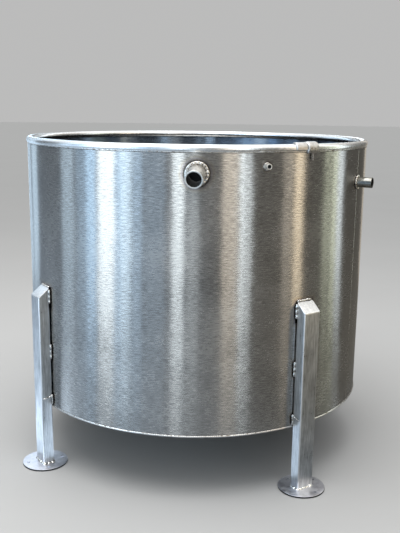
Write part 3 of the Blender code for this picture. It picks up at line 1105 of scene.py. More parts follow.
@dataclass
class Shell:
    """The rolled wall with its upright seam, and the bottom plate."""

    plan: Plan
    fittings: Sequence[PipeFitting]
    seam: float = 27.0
    seam_width: float = 0.0032
    seam_height: float = 0.0004
    wave: float = 0.00028
    steps: int = 384
    rows: int = 60
    inner_rows: int = 26
    leg_span: float = 90.0

    def unrolled(self, place: Vector) -> Point:
        """Place on the unrolled sheet: metres along it from the seam, and height."""
        turn = math.radians((azimuth_of(place) - self.seam) % 360.0)
        depth = math.hypot(place.x, place.y) - self.plan.radius
        return turn * self.plan.radius, place.z + depth

    def profile(self) -> list[Point]:
        """The wall's section, with rows close enough for its waves."""
        outside, inside = self.plan.radius, self.plan.radius - self.plan.sheet
        low, high, edge = self.plan.wall_low, self.plan.wall_high, self.plan.sheet / 4
        rise = (high - low - 2 * edge) / self.rows
        inner_rise = (high - low) / self.inner_rows
        points = [(outside, low + edge + rise * row) for row in range(self.rows + 1)]
        points += [(outside - edge, high), (inside + edge, high)]
        points += [(inside, high - edge - (inner_rise - edge / self.inner_rows) * row)
                   for row in range(self.inner_rows)]
        return points + [(inside, low), (outside - edge, low)]

    def wave_wall(self, bm: bmesh.types.BMesh) -> None:
        """Give the rolled sheet its slight waves, which die out at its stiff edges."""
        low, high = self.plan.wall_low, self.plan.wall_high
        for vert in bm.verts:
            share = (vert.co.z - low) / (high - low)
            free = min(1.0, 6.0 * min(share, 1.0 - share))
            slow = noise.noise(Vector((vert.co.x, vert.co.y, 0.45 * vert.co.z)) * 7.0)
            quick = noise.noise(Vector((vert.co.x, vert.co.y, 0.7 * vert.co.z)) * 19.0)
            away = Vector((vert.co.x, vert.co.y, 0.0)).normalized()
            vert.co += away * (self.wave * free * (slow + 0.3 * quick))

    def finish(self) -> BrushedSteel:
        """Brushed sheet with heat tint round every weld on it."""
        spots = []
        for fitting in self.fittings:
            u, v = self.unrolled(fitting.root)
            spots.append(HeatSpot(u, v, radius=fitting.bead_reach, reach=fitting.bead_reach * 0.6))
        quarter = math.radians(self.leg_span) * self.plan.radius
        u = self.unrolled(self.plan.on_wall(90.0, 0.0))[0]
        for low, high, reach in ((0.440, 0.4926, 0.016), (0.300, 0.340, 0.010),
                                 (0.172, 0.200, 0.010)):
            spots.append(HeatSpot(u, (low + high) / 2, 0.026, (high - low) / 2, reach=reach,
                                  strength=0.95, every=quarter))
        return BrushedSteel("brushed_sheet", SHEET_LIGHT, SHEET_DARK, along=58.0, across=420.0,
                            fine=950.0, relief=0.00006, contrast=0.12, spots=tuple(spots))

    def build_wall(self) -> bpy.types.Object:
        """Roll the wall and cut the fittings' bores through it.

        Returns:
            The wall's object.
        """
        bm = turned(self.profile(), self.steps)
        self.wave_wall(bm)
        bm = carved(bm, [fitting.bore_cutter() for fitting in self.fittings])
        lay_uv(bm, self.unrolled, (math.tau * self.plan.radius, 0.0))
        middle = self.plan.radius - self.plan.sheet / 2
        for face in bm.faces:
            centre = face.calc_center_median()
            face.material_index = int(math.hypot(centre.x, centre.y) < middle)
        nodes = tuple(f"shell_wall_{number}" for number in range(1, 9))
        return Piece("rolled_wall", Slot.SHEET, nodes).make(bm, self.finish(), INNER_SHEET)

    def build_seam(self) -> bpy.types.Object:
        """Lay the flat, dressed bead of the upright seam, above and below the side pipe.

        Returns:
            The seam's object.
        """
        gap = next(f for f in self.fittings if abs(f.azimuth - self.seam) < 1.0)
        low, high = gap.z - gap.bead_reach, gap.z + gap.bead_reach
        runs = ((self.plan.wall_low, low, outward(self.seam)), (high, self.plan.wall_high - 0.004,
                                                                outward(self.seam)))
        beads = []
        for start, end, off in runs:
            path = straight(self.plan.on_wall(self.seam, start), self.plan.on_wall(self.seam, end),
                            off)
            beads.append(WeldBead(path, end - start, out=self.seam_width / 2,
                                  back=self.seam_width / 2, height=self.seam_height,
                                  root=self.seam_height, pitch=0.0030, notch=0.5, rows=5, sides=10))
        bm = join(bmesh.new(), [bead.lay() for bead in beads])
        return Piece("wall_seam", Slot.WELD).make(bm, DRESSED_WELD)

    def build_bottom(self) -> bpy.types.Object:
        """Build the bottom plate with its rounded lip.

        Returns:
            The plate's object.
        """
        low, high, reach = self.plan.underside, self.plan.wall_low, self.plan.lip_radius
        half = (high - low) / 2
        lip = arc((reach - half, low + half), half, -90, 90, 6)
        bm = turned_solid([(0.0, low), *lip, (0.0, high)], 256)
        finish = GroundSteel("bottom_plate", (0.50, 0.49, 0.47), (0.36, 0.35, 0.33), (0.26, 0.42),
                             18.0)
        return Piece("bottom_sheet", Slot.BOTTOM, ("bottom_plate",)).make(bm, finish)

    def build_bottom_beads(self) -> bpy.types.Object:
        """Lay the dressed bead between lip and wall, and the fillet inside.

        Returns:
            The beads' object.
        """
        circumference = math.tau * self.plan.radius
        outer = WeldBead(hoop(self.plan.radius, self.plan.wall_low, 35.0), circumference,
                         out=0.0016, back=0.0014, height=0.0009, root=0.0009, pitch=0.0052,
                         closed=True, notch=0.18, rows=4, sides=8)
        inside = self.plan.radius - self.plan.sheet
        inner = WeldBead(hoop(inside, self.plan.wall_low, 135.0), circumference, out=0.003,
                         back=0.003, height=0.0016, root=0.001, pitch=0.006, closed=True,
                         notch=0.3, rows=4, sides=8)
        bm = join(bmesh.new(), [outer.lay(), inner.lay()])
        return Piece("bottom_bead", Slot.WELD).make(bm, DRESSED_WELD)

    def build(self) -> None:
        """Build the wall, its seam, the bottom and its beads."""
        self.build_wall()
        self.build_seam()
        self.build_bottom()
        self.build_bottom_beads()


@dataclass
class Rim:
    """The tube rolled round the open top, with the joint that closes it."""

    plan: Plan
    steps: int = 360
    sides: int = 28
    saddle_span: Point = (-5.4, -1.55)
    saddle_radius: float = 0.0140
    knuckle_span: Point = (-1.4, 2.6)
    knuckle_radius: float = 0.0155
    core: float = 0.0070
    pin_holes: tuple[float, ...] = (-0.55, 0.85)
    pin_hole_radius: float = 0.0013
    bolt_azimuth: float = 0.4
    bolt_radius: float = 0.003

    @property
    def centre(self) -> Point:
        """Radius and height of the tube's centre line."""
        return self.plan.rim_radius, self.plan.rim_z

    def unrolled(self, place: Vector) -> Point:
        """Place on the tube's unrolled surface: metres along it and round it."""
        away = math.hypot(place.x, place.y) - self.plan.rim_radius
        turn = math.atan2(place.z - self.plan.rim_z, away)
        return (math.radians(azimuth_of(place)) * self.plan.rim_radius, turn * self.plan.rim_tube)

    def build_tube(self) -> bpy.types.Object:
        """Roll the tube.

        Returns:
            The tube's object.
        """
        section = arc(self.centre, self.plan.rim_tube, 0, 360, self.sides)[:-1]
        bm = turned(section, self.steps)
        lay_uv(bm, self.unrolled, (math.tau * self.plan.rim_radius,
                                   math.tau * self.plan.rim_tube))
        finish = BrushedSteel("bright_tube", (0.84, 0.85, 0.86), (0.70, 0.71, 0.72),
                              (0.24, 0.30), 0.3, 20.0, 600.0, 2600.0, 0.004, 0.00001, 0.0)
        nodes = tuple(f"rim_tube_{number}" for number in range(1, 9))
        return Piece("rolled_rim", Slot.RIM, nodes).make(bm, finish)

    def build_beads(self) -> bpy.types.Object:
        """Lay the thin beads that hold the tube on the wall, outside and inside.

        Returns:
            The beads' object.
        """
        plan = self.plan
        gap = plan.radius - plan.rim_radius
        drop = math.sqrt(plan.rim_tube ** 2 - gap ** 2)
        length = math.tau * plan.radius
        z = plan.rim_z - drop
        outer = WeldBead(hoop(plan.radius, z, -10.0), length, out=0.0014, back=0.0016,
                         height=0.0011, root=0.001, pitch=0.0050, closed=True, notch=0.2,
                         rows=4, sides=8)
        inner = WeldBead(hoop(plan.radius - plan.sheet, z, 190.0), length, out=0.0016,
                         back=0.0016, height=0.0011, root=0.001, pitch=0.0055, closed=True,
                         notch=0.2, rows=4, sides=8)
        bm = join(bmesh.new(), [outer.lay(), inner.lay()])
        return Piece("rim_bead", Slot.WELD).make(bm, DRESSED_WELD)

    def sleeve(self, radius: float, turn: Point, span: Point, edge: float) -> bmesh.types.BMesh:
        """A round-edged sleeve over part of the tube.

        Args:
            radius: Its outer radius.
            turn: Where it starts and ends round the tube, in degrees.
            span: Where it starts and ends round the tank, in degrees.
            edge: Radius of its rounded ends.

        Returns:
            A closed mesh.
        """
        outside = arc(self.centre, radius, *turn, 40)
        inside = arc(self.centre, self.core, *turn, 20)
        bm = swept(outside + inside[::-1], *span, 10)
        ends = [face for face in bm.faces if len(face.verts) > 4]
        rims = {edge for face in ends for edge in face.edges
                if min(self.off_centre(vert.co) for vert in edge.verts) > radius - MERGE * 10}
        bmesh.ops.bevel(bm, geom=list(rims), offset=edge, segments=4, profile=0.5,
                        affect="EDGES", material=-1)
        return bm

    def off_centre(self, place: Vector) -> float:
        """Distance of a place from the tube's centre line."""
        away = math.hypot(place.x, place.y) - self.plan.rim_radius
        return math.hypot(away, place.z - self.plan.rim_z)

    def build_saddle(self) -> bpy.types.Object:
        """Build the sleeve that covers one end of the tube."""
        bm = self.sleeve(self.saddle_radius, (-10.0, 190.0), self.saddle_span, 0.0024)
        return Piece("joint_sleeve", Slot.FITTING, ("rim_saddle",)).make(bm, JOINT_STEEL)

    def build_knuckle(self) -> bpy.types.Object:
        """Build the thicker knuckle beside the sleeve, with its two pin holes.

        Returns:
            The knuckle's object.
        """
        bm = self.sleeve(self.knuckle_radius, (-50.0, 230.0), self.knuckle_span, 0.0034)
        cutters = []
        for azimuth in self.pin_holes:
            away = outward(azimuth)
            start = away * (self.plan.rim_radius + self.knuckle_radius) + UP * self.plan.rim_z
            place = facing(start, sideways(azimuth), away)
            cutters.append(rod(self.pin_hole_radius, -0.004, 0.004, 20, place))
        bm = carved(bm, cutters)
        return Piece("joint_knuckle", Slot.FITTING, ("rim_knuckle",)).make(bm, JOINT_STEEL)

    def build_bolt(self) -> bpy.types.Object:
        """Build the threaded bolt under the knuckle, with its nut.

        Returns:
            The bolt's object.
        """
        low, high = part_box("rim_knuckle_bolt")
        stud, groove, pitch = 0.0022, 0.0003, 0.0010
        turns = int((high.z - low.z) / pitch)
        profile = [(0.0, low.z), (stud - groove, low.z)]
        for turn in range(turns):
            z = low.z + pitch * turn
            profile += [(stud, z + pitch * 0.5), (stud - groove, z + pitch)]
        bm = turned_solid(profile + [(0.0, profile[-1][1])], 24)
        nut = rod(self.bolt_radius, high.z - 0.0110, high.z - 0.0065, 6)
        bmesh.ops.bevel(nut, geom=list(nut.edges), offset=0.0004, segments=2, profile=0.5,
                        affect="EDGES", material=-1)
        join(bm, [nut])
        centre = (low + high) / 2
        bmesh.ops.translate(bm, vec=(centre.x, centre.y, 0.0), verts=bm.verts)
        return Piece("joint_bolt", Slot.FITTING, ("rim_knuckle_bolt",)).make(bm, BOLT_STEEL)

    def build_joint_bead(self) -> bpy.types.Object:
        """Lay the bright bead over the tube at the free end of the knuckle.

        Returns:
            The bead's object.
        """
        azimuth = self.knuckle_span[1] + 0.15
        away, start, turn = outward(azimuth), math.radians(-25.0), math.radians(150.0)

        def path(share: float) -> Matrix:
            """Frame round the tube's section."""
            angle = start + turn * share
            off = away * math.cos(angle) + UP * math.sin(angle)
            ahead = UP * math.cos(angle) - away * math.sin(angle)
            here = away * self.plan.rim_radius + UP * self.plan.rim_z + off * self.plan.rim_tube
            return facing(here, ahead, off)

        bead = WeldBead(path, turn * self.plan.rim_tube, out=0.0022, back=0.0022, height=0.0018,
                        root=0.001, pitch=0.0052, notch=0.6, uneven=0.3, rows=8)
        return Piece("joint_bead", Slot.WELD).make(bead.lay(), RING_WELD)

    def build(self) -> None:
        """Build the tube, its beads and its joint."""
        self.build_tube()
        self.build_beads()
        self.build_saddle()
        self.build_knuckle()
        self.build_bolt()
        self.build_joint_bead()


# The faint blue in the leg steel's colours is a painted reflection of cool light.
LEG_STEEL = BrushedSteel("brushed_box_section", (0.84, 0.87, 0.90), (0.27, 0.285, 0.30),
                         (0.26, 0.36), 0.2, 16.0, 300.0, 900.0, 0.004, 0.00008, 0.0002, 14.0,
                         26.0, 0.15, painted_highlight_period=0.04)
LEG_WELD = WeldMetal("leg_weld", (0.78, 0.77, 0.74), (0.10, 0.085, 0.07), oxide_share=0.5)
CAP_STEEL = GroundSteel("ground_cap", (0.80, 0.81, 0.81), (0.50, 0.51, 0.53), (0.30, 0.42), 170.0)
FOOT_STEEL = GroundSteel("foot_plate", (0.72, 0.72, 0.76), (0.46, 0.46, 0.51), (0.36, 0.52), 90.0)
# Near-black painted shade for the foot plates' upright edges.
FOOT_EDGE_SHADE = PaintedShadeFinish("foot_edge_painted_shade")


@dataclass
class Leg:
    """One box-section leg with its sloping cap, drilled foot plate and weld beads."""

    name: str
    plan: Plan
    azimuth: float
    foot_twist: float
    width: float = 0.050
    depth: float = 0.030
    wall: float = 0.002
    corner: float = 0.004
    top_inner: float = 0.4926
    top_outer: float = 0.4688
    cap_plate: float = 0.0025
    hole_radius: float = 0.0045
    hole_circle: float = 0.046
    holes: int = 4
    dent: float = 0.00014

    @property
    def centre(self) -> float:
        """Distance of the leg's middle from the tank's axis."""
        return self.plan.leg_outer - self.depth / 2

    @property
    def place(self) -> Matrix:
        """Matrix that carries the leg's own frame into place: X across it and -Y outwards."""
        turn = Matrix.Rotation(math.radians(self.azimuth), 4, "Z")
        return Matrix.Translation(outward(self.azimuth) * self.centre) @ turn

    @property
    def slope(self) -> float:
        """Fall of the cap outwards."""
        return (self.top_inner - self.top_outer) / self.depth

    @property
    def cap_drop(self) -> float:
        """Upright thickness of the sloping cap."""
        return self.cap_plate * math.hypot(1.0, self.slope)

    @property
    def middle_top(self) -> float:
        """Height of the cap's top over the leg's middle."""
        return (self.top_inner + self.top_outer) / 2

    def spot(self, across: float, radial: float, z: float) -> Vector:
        """Point from its place across the leg, its distance from the tank's axis and height."""
        return self.place @ Vector((across, self.centre - radial, z))

    def grain(self, place: Vector) -> Point:
        """Place on the unrolled leg: height first, because the grain runs up it."""
        local = self.place.inverted() @ place
        turn = square_turn(local.x / (self.width / 2), local.y / (self.depth / 2))
        return local.z + 0.6 * self.azimuth, turn * (self.width + self.depth) / 4

    def box(self, low: float, high: float) -> bmesh.types.BMesh:
        """A bar of the leg's outline with rounded corners."""
        bm = bmesh.new()
        bmesh.ops.create_cube(bm, size=1.0)
        bmesh.ops.scale(bm, vec=(self.width, self.depth, high - low), verts=bm.verts)
        bmesh.ops.translate(bm, vec=(0, 0, (low + high) / 2), verts=bm.verts)
        uprights = [edge for edge in bm.edges
                    if abs(edge.verts[0].co.z - edge.verts[1].co.z) > (high - low) / 2]
        bmesh.ops.bevel(bm, geom=uprights, offset=self.corner, segments=5, profile=0.5,
                        affect="EDGES", material=-1)
        return bm

    def slice_tube(self, bm: bmesh.types.BMesh) -> None:
        """Cut the tube's faces into a net that can carry dents."""
        cuts = [((0, 0, 0.02 * row), UP) for row in range(1, 24)]
        cuts += [((x, 0, 0), Vector((1, 0, 0))) for x in (-0.014, -0.005, 0.005, 0.014)]
        cuts += [((0, y, 0), Vector((0, 1, 0))) for y in (-0.005, 0.005)]
        for spot, way in cuts:
            geom = list(bm.verts) + list(bm.edges) + list(bm.faces)
            bmesh.ops.bisect_plane(bm, geom=geom, plane_co=spot, plane_no=way)

    def build_tube(self) -> bpy.types.Object:
        """Build the hollow tube, with its top cut to the cap's slope.

        Returns:
            The tube's object.
        """
        bm = self.box(self.plan.foot_plate, self.top_inner)
        ends = [face for face in bm.faces if abs(face.normal.z) > 0.9]
        bmesh.ops.delete(bm, geom=ends, context="FACES_ONLY")
        geom = list(bm.verts) + list(bm.edges) + list(bm.faces)
        bmesh.ops.bisect_plane(bm, geom=geom, plane_co=(0, 0, self.middle_top - self.cap_drop),
                               plane_no=(0.0, -self.slope, 1.0), clear_outer=True)
        self.slice_tube(bm)
        bm.normal_update()
        for vert in bm.verts:
            spot = vert.co * 16.0 + Vector((self.azimuth, 0, 0))
            vert.co += vert.normal * (self.dent * noise.noise(spot))
        bmesh.ops.transform(bm, matrix=self.place, verts=bm.verts)
        lay_uv(bm, self.grain, (0.0, 2 * (self.width + self.depth)))
        bmesh.ops.solidify(bm, geom=list(bm.faces), thickness=self.wall)
        return Piece(f"{self.name}_post", Slot.LEG, (f"{self.name}_tube",)).make(bm, LEG_STEEL)

    def build_cap(self) -> bpy.types.Object:
        """Build the sloping cap plate with its ground edges.

        Returns:
            The cap's object.
        """
        seat = 0.0005
        bm = self.box(-self.cap_drop - seat, 0.0)
        rims = [edge for edge in bm.edges if abs(edge.verts[0].co.z - edge.verts[1].co.z) < MERGE
                and edge.verts[0].co.z > -MERGE]
        bmesh.ops.bevel(bm, geom=rims, offset=0.0007, segments=3, profile=0.5, affect="EDGES",
                        material=-1)
        shear = Matrix(((1, 0, 0, 0), (0, 1, 0, 0), (0, self.slope, 1, self.middle_top),
                        (0, 0, 0, 1)))
        bmesh.ops.transform(bm, matrix=self.place @ shear, verts=bm.verts)
        return Piece(f"{self.name}_lid", Slot.CAP, (f"{self.name}_cap",)).make(bm, CAP_STEEL)

    def build_foot(self) -> bpy.types.Object:
        """Build the drilled foot plate, with its cut edge painted near-black as shade.

        Returns:
            The foot's object.
        """
        plate, radius = self.plan.foot_plate, self.plan.foot_radius
        high = arc((radius - 0.0009, plate - 0.0009), 0.0009, 0, 90, 4)
        bm = turned_solid([(0.0, 0.0), (radius - 0.0004, 0.0), (radius, 0.0004), *high,
                           (0.0, plate)], 96)
        drills = []
        for hole in range(self.holes):
            bearing = self.foot_twist + hole * 360.0 / self.holes
            centre = outward(bearing) * self.hole_circle
            drills.append(rod(self.hole_radius, -plate, 2 * plate, 28,
                              Matrix.Translation(centre)))
        bm = carved(bm, drills)
        # The plate's upright edge takes the near-black painted shade.
        for face in bm.faces:
            centre = face.calc_center_median()
            cut = math.hypot(centre.x, centre.y) > radius - 0.0006 and face.normal.z < 0.35
            face.material_index = int(cut)
        bmesh.ops.transform(bm, matrix=self.place, verts=bm.verts)
        return Piece(f"{self.name}_base", Slot.FOOT, (f"{self.name}_foot",)).make(
            bm, FOOT_STEEL, FOOT_EDGE_SHADE)

    def side_beads(self) -> list[WeldBead]:
        """The stitches down both sides, which bridge the gap between leg and wall."""
        beads = []
        across, radial = self.width / 2 + 0.0008, self.plan.radius + 0.0022
        for side in (-1, 1):
            off = self.place.to_3x3() @ Vector((0.45 * side, -1.0, 0.0))
            for number, (low, high) in enumerate(((0.4500, 0.4885), (0.300, 0.340),
                                                  (0.172, 0.200))):
                path = straight(self.spot(side * across, radial, low),
                                self.spot(side * across, radial, high), off)
                beads.append(WeldBead(path, high - low, out=0.0032, back=0.0032, height=0.0034,
                                      root=0.0030, pitch=0.0115, notch=0.75, uneven=0.35,
                                      seed=self.azimuth + 11 * number + 3 * side, rows=10))
        return beads

    def top_bead(self) -> WeldBead:
        """The bead of slanted drops between the cap's upper edge and the wall."""
        half, z = self.width / 2 - 0.002, self.top_inner + 0.0012
        radial = self.plan.radius + 0.0010
        off = self.place.to_3x3() @ Vector((0.0, -0.75, 1.0))
        path = straight(self.spot(-half, radial, z), self.spot(half, radial, z), off)
        return WeldBead(path, 2 * half, out=0.0030, back=0.0026, height=0.0030, root=0.0024,
                        pitch=0.0080, notch=0.9, curl=0.0, tilt=0.38, uneven=0.3,
                        seed=self.azimuth, rows=10, sides=14)

    def cross_beads(self) -> list[WeldBead]:
        """The beads that cross both side faces just above the tank's bottom."""
        beads = []
        for side in (-1, 1):
            across = side * self.width / 2
            points = [self.spot(across, radial, z) for radial, z in
                      ((0.4765, 0.2000), (0.4840, 0.1945), (0.4930, 0.1925), (0.5030, 0.1910))]
            off = self.place.to_3x3() @ Vector((side, 0.0, 0.0))
            beads.append(WeldBead(smooth_line(points, off), 0.029, out=0.0016, back=0.0016,
                                  height=0.0016, root=0.0006, pitch=0.0075, notch=0.5,
                                  uneven=0.35, seed=self.azimuth + side, rows=8))
        return beads

    def foot_bead(self) -> WeldBead:
        """The bead round the tube's lower end."""
        half_x, half_y = self.width / 2, self.depth / 2
        straight_x, straight_y = half_x - self.corner, half_y - self.corner
        quarter = math.pi / 2 * self.corner
        sides = ((2 * straight_x, 0), (quarter, 1), (2 * straight_y, 0), (quarter, 1)) * 2
        total = sum(length for length, _ in sides)
        turn = self.place.to_3x3()

        def local(share: float) -> tuple[Vector, float]:
            """Point of the outline and the direction of travel there, as an angle."""
            left, angle, spot = (share % 1.0) * total, 0.0, Vector((-straight_x, -half_y, 0.0))
            for length, bend in sides:
                part = min(left, length)
                if bend:
                    swing = part / self.corner
                    inward = Vector((-math.sin(angle), math.cos(angle), 0.0))
                    centre = spot + inward * self.corner
                    spot = centre - (Matrix.Rotation(swing, 3, "Z") @ inward) * self.corner
                    angle += swing
                else:
                    spot = spot + Vector((math.cos(angle), math.sin(angle), 0.0)) * part
                left -= part
                if left <= 0:
                    break
            return spot, angle

        def path(share: float) -> Matrix:
            """Frame in the corner between tube and plate, leaning outwards."""
            spot, angle = local(share)
            ahead = Vector((math.cos(angle), math.sin(angle), 0.0))
            away = Vector((math.sin(angle), -math.cos(angle), 0.0))
            here = self.place @ (spot + UP * self.plan.foot_plate)
            return facing(here, turn @ ahead, turn @ (away + UP))

        return WeldBead(path, total, out=0.0042, back=0.0042, height=0.0036, root=0.0012,
                        pitch=0.0112, closed=True, notch=0.6, uneven=0.6,
                        seed=self.azimuth + 5, rows=8)

    def build_beads(self) -> bpy.types.Object:
        """Lay all the leg's beads.

        Returns:
            The beads' object.
        """
        beads = [*self.side_beads(), self.top_bead(), *self.cross_beads(), self.foot_bead()]
        bm = join(bmesh.new(), [bead.lay() for bead in beads])
        return Piece(f"{self.name}_beads", Slot.WELD).make(bm, LEG_WELD)

    def build(self) -> None:
        """Build the tube, the cap, the foot and the beads."""
        self.build_tube()
        self.build_cap()
        self.build_foot()
        self.build_beads()


@dataclass(frozen=True)
class SoftPanel:
    """A tall strip light on the floor, which the steel mirrors as an upright band."""

    azimuth: float
    width: float
    radiance: float
    tint: Colour = (1.0, 1.0, 1.0)
    ring: float = 2.4
    low: float = 0.0
    height: float = 2.4

    def build(self, number: int) -> None:
        """Stand the panel round the tank.

        Args:
            number: Its number, for its name.
        """
        width = 2 * self.ring * math.tan(math.radians(self.width / 2))
        light = bpy.data.lights.new(f"soft_panel_{number}", "AREA")
        light.shape = "RECTANGLE"
        light.size, light.size_y = width, self.height
        peak = max(self.tint)
        light.energy = self.radiance * peak * width * self.height * math.pi
        light.color = [part / peak for part in self.tint]
        panel = bpy.data.objects.new(light.name, light)
        bpy.context.scene.collection.objects.link(panel)
        away = outward(self.azimuth)
        panel.location = away * self.ring + UP * (self.low + self.height / 2)
        panel.rotation_euler = away.to_track_quat("Z", "Y").to_euler()
        panel.visible_camera = False
        panel.visible_diffuse = False


@dataclass(frozen=True)
class FloorCard:
    """A pale card that lies on the floor, which only shows in the steel above it."""

    start: Point
    end: Point
    width: float
    radiance: float
    tint: Colour = (0.80, 0.95, 1.12)
    lift: float = 0.001

    def build(self, number: int) -> None:
        """Lay the card.

        Args:
            number: Its number, for its name.
        """
        start, end = Vector((*self.start, self.lift)), Vector((*self.end, self.lift))
        length = (end - start).length
        light = bpy.data.lights.new(f"floor_card_{number}", "AREA")
        light.shape = "RECTANGLE"
        light.size, light.size_y = length, self.width
        peak = max(self.tint)
        light.energy = self.radiance * peak * length * self.width * math.pi
        light.color = [part / peak for part in self.tint]
        card = bpy.data.objects.new(light.name, light)
        bpy.context.scene.collection.objects.link(card)
        card.matrix_world = facing((start + end) / 2, end - start, UP) @ Matrix.Rotation(
            math.pi, 4, "X")
        card.visible_camera = False
        card.visible_diffuse = False


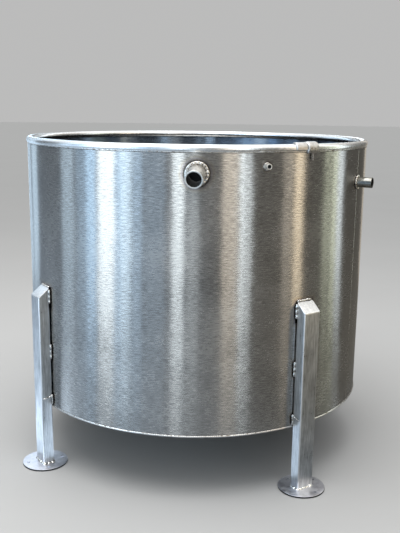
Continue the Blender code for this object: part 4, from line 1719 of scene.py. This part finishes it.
@dataclass
class Studio:
    """Floor, sky, lights and camera."""

    floor_radius: float = 40.0
    backdrop: Colour = (0.50, 0.50, 0.498)
    zenith: float = 1.5
    horizon: float = 0.14
    camera_azimuth: float = -34.33
    camera_distance: float = 2.1793
    camera_height: float = 0.9576
    pitch: float = 12.067
    yaw: float = 0.321
    roll: float = 0.719
    focal_pixels: float = 750.0
    picture: tuple[int, int] = (400, 533)

    def build_floor(self) -> None:
        """Lay the pale floor."""
        bm = bmesh.new()
        bmesh.ops.create_circle(bm, cap_ends=True, segments=96, radius=self.floor_radius)
        mesh = bpy.data.meshes.new("studio_floor")
        bm.to_mesh(mesh)
        bm.free()
        mesh.materials.append(material_of(PaleFloor("pale_floor")))
        floor = bpy.data.objects.new("studio_floor", mesh)
        bpy.context.scene.collection.objects.link(floor)

    def build_sky(self) -> None:
        """Light the studio from a soft sky that is plain to the camera."""
        world = bpy.data.worlds.new("studio_sky")
        bpy.context.scene.world = world
        world.use_nodes = True
        sheet = NodeSheet(world.node_tree)
        way = sheet.add("ShaderNodeTexCoord").outputs["Generated"]
        height = sheet.split(way)[2]
        grey = [(0.0, (self.horizon,) * 3), (0.3, (0.24,) * 3), (0.75, (self.zenith,) * 3),
                (1.0, (self.zenith,) * 3)]
        sky = sheet.ramp(height, grey)
        cool = sheet.vector("DOT_PRODUCT", way, tuple(outward(-124.0)))
        sky = sheet.blend(sheet.span(cool, (-1.0, 1.0), (0.0, 1.0)),
                          sheet.blend(1.0, sky, (1.05, 1.0, 0.92), "MULTIPLY"),
                          sheet.blend(1.0, sky, (0.93, 1.0, 1.08), "MULTIPLY"))
        path = sheet.add("ShaderNodeLightPath").outputs
        high = sheet.ramp(height, [(0.30, (0.05,) * 3), (0.8, (1.15,) * 3)])
        sky = sheet.blend(path["Is Diffuse Ray"], sky, high)
        shade = world.node_tree.nodes["Background"]
        sheet.feed(shade.inputs["Color"],
                   sheet.blend(path["Is Camera Ray"], sky, self.backdrop))

    def build_panels(self) -> None:
        """Stand the strip lights, cool on the tank's left and warm on its right."""
        blue, sky, white = (0.66, 1.0, 1.38), (0.76, 1.0, 1.22), (0.90, 1.0, 1.06)
        warm, peach, green = (1.12, 1.0, 0.84), (1.2, 1.0, 0.72), (0.93, 1.0, 0.76)
        panels = (SoftPanel(-162, 12, 0.9, sky), SoftPanel(-118.5, 11, 0.9, sky),
                  SoftPanel(-106.5, 8, 0.6, blue), SoftPanel(-99, 7, 1.8, blue),
                  SoftPanel(-88.5, 11, 3.4, white), SoftPanel(-80.5, 5, 1.4, blue),
                  SoftPanel(-75.5, 6, 2.4, sky), SoftPanel(-68.5, 6, 0.9, blue),
                  SoftPanel(-58, 12, 0.35, blue), SoftPanel(-44.8, 6.5, 2.7, white),
                  SoftPanel(-36, 6, 0.8, white), SoftPanel(-15, 9, 1.2, warm),
                  SoftPanel(-8.2, 3, 3.0, white), SoftPanel(-4.4, 3, 2.0, white),
                  SoftPanel(20.5, 6, 0.6, warm), SoftPanel(28.3, 6, 1.9, peach),
                  SoftPanel(51, 6, 0.7, green), SoftPanel(58.5, 6, 1.4, green),
                  SoftPanel(65, 6.5, 1.8, white), SoftPanel(112, 8, 0.5, warm),
                  SoftPanel(128, 9, 2.6, white), SoftPanel(150, 7, 0.7, white),
                  SoftPanel(171, 9, 2.0, sky), SoftPanel(-176, 8, 0.7, sky))
        for number, panel in enumerate(panels, 1):
            panel.build(number)

    def build_cards(self) -> None:
        """Lay the cards that brighten the legs' left faces and their corners."""
        cards = (FloorCard((-0.07, -0.44), (-0.95, 0.52), 0.32, 0.85),
                 FloorCard((-0.56, 0.12), (-1.12, 1.45), 0.30, 0.40))
        for number, card in enumerate(cards, 1):
            card.build(number)

    def build_key(self) -> None:
        """Hang one broad soft light overhead for the ground shadow."""
        light = bpy.data.lights.new("overhead_soft", "AREA")
        light.shape = "RECTANGLE"
        light.size, light.size_y = 3.0, 3.0
        light.energy = 95.0
        lamp = bpy.data.objects.new(light.name, light)
        bpy.context.scene.collection.objects.link(lamp)
        lamp.location = outward(-75.0) * 0.9 + UP * 3.4
        lamp.visible_camera = False

    def build_camera(self) -> None:
        """Set the camera where the picture was taken from."""
        pitch, yaw, roll = (math.radians(angle) for angle in (self.pitch, self.yaw, self.roll))
        ahead = Vector((math.sin(yaw) * math.cos(pitch), math.cos(yaw) * math.cos(pitch),
                        -math.sin(pitch)))
        right = Vector((math.cos(yaw), -math.sin(yaw), 0.0))
        up = right.cross(ahead)
        rolled_right = right * math.cos(roll) + up * math.sin(roll)
        rolled_up = up * math.cos(roll) - right * math.sin(roll)
        turn = Matrix((rolled_right, rolled_up, -ahead)).transposed().to_4x4()
        stand = Matrix.Translation((0.0, -self.camera_distance, self.camera_height))
        data = bpy.data.cameras.new("picture_camera")
        data.lens = self.focal_pixels / max(self.picture) * data.sensor_width
        data.clip_start, data.clip_end = 0.05, 200.0
        camera = bpy.data.objects.new(data.name, data)
        bpy.context.scene.collection.objects.link(camera)
        camera.matrix_world = Matrix.Rotation(math.radians(self.camera_azimuth), 4, "Z") @ (
            stand @ turn)
        bpy.context.scene.camera = camera
        bpy.context.scene.view_settings.view_transform = "Standard"

    def build(self) -> None:
        """Build the whole studio."""
        self.build_floor()
        self.build_sky()
        self.build_panels()
        self.build_cards()
        self.build_key()
        self.build_camera()


def main() -> None:
    """Build the studio and dress the tank."""
    logging.basicConfig(level=logging.INFO, format="%(name)s: %(message)s")
    plan = Plan.read()
    Studio().build()
    fittings = (
        PipeFitting("front_socket", plan, -34.4, 0.8075, 0.0212, 0.0175, 0.045, 0.0292, 0.0046,
                    droop=12.0, yaw=-8.0, pitch=0.0085, seed=1.0, heavier=0.15),
        PipeFitting("side_pipe", plan, 27.0, 0.770, 0.01345, 0.01115, 0.040, 0.0190, 0.0042,
                    pitch=0.0065, seed=2.0, finish=SHADED_SIDE_STEEL),
        PipeFitting("gauge_boss", plan, -14.5, 0.824, 0.00685, 0.0046, 0.013, 0.0096, 0.0026,
                    pitch=0.0042, seed=3.0),
    )
    Shell(plan, fittings).build()
    Rim(plan).build()
    for fitting in fittings:
        fitting.build()
    twists = {"front_leg": 8.0, "right_leg": -4.0, "rear_leg": 5.0, "left_leg": -12.0}
    for number, (name, twist) in enumerate(twists.items()):
        Leg(name, plan, 360.0 / len(twists) * number, twist).build()


if __name__ == "__main__":
    main()
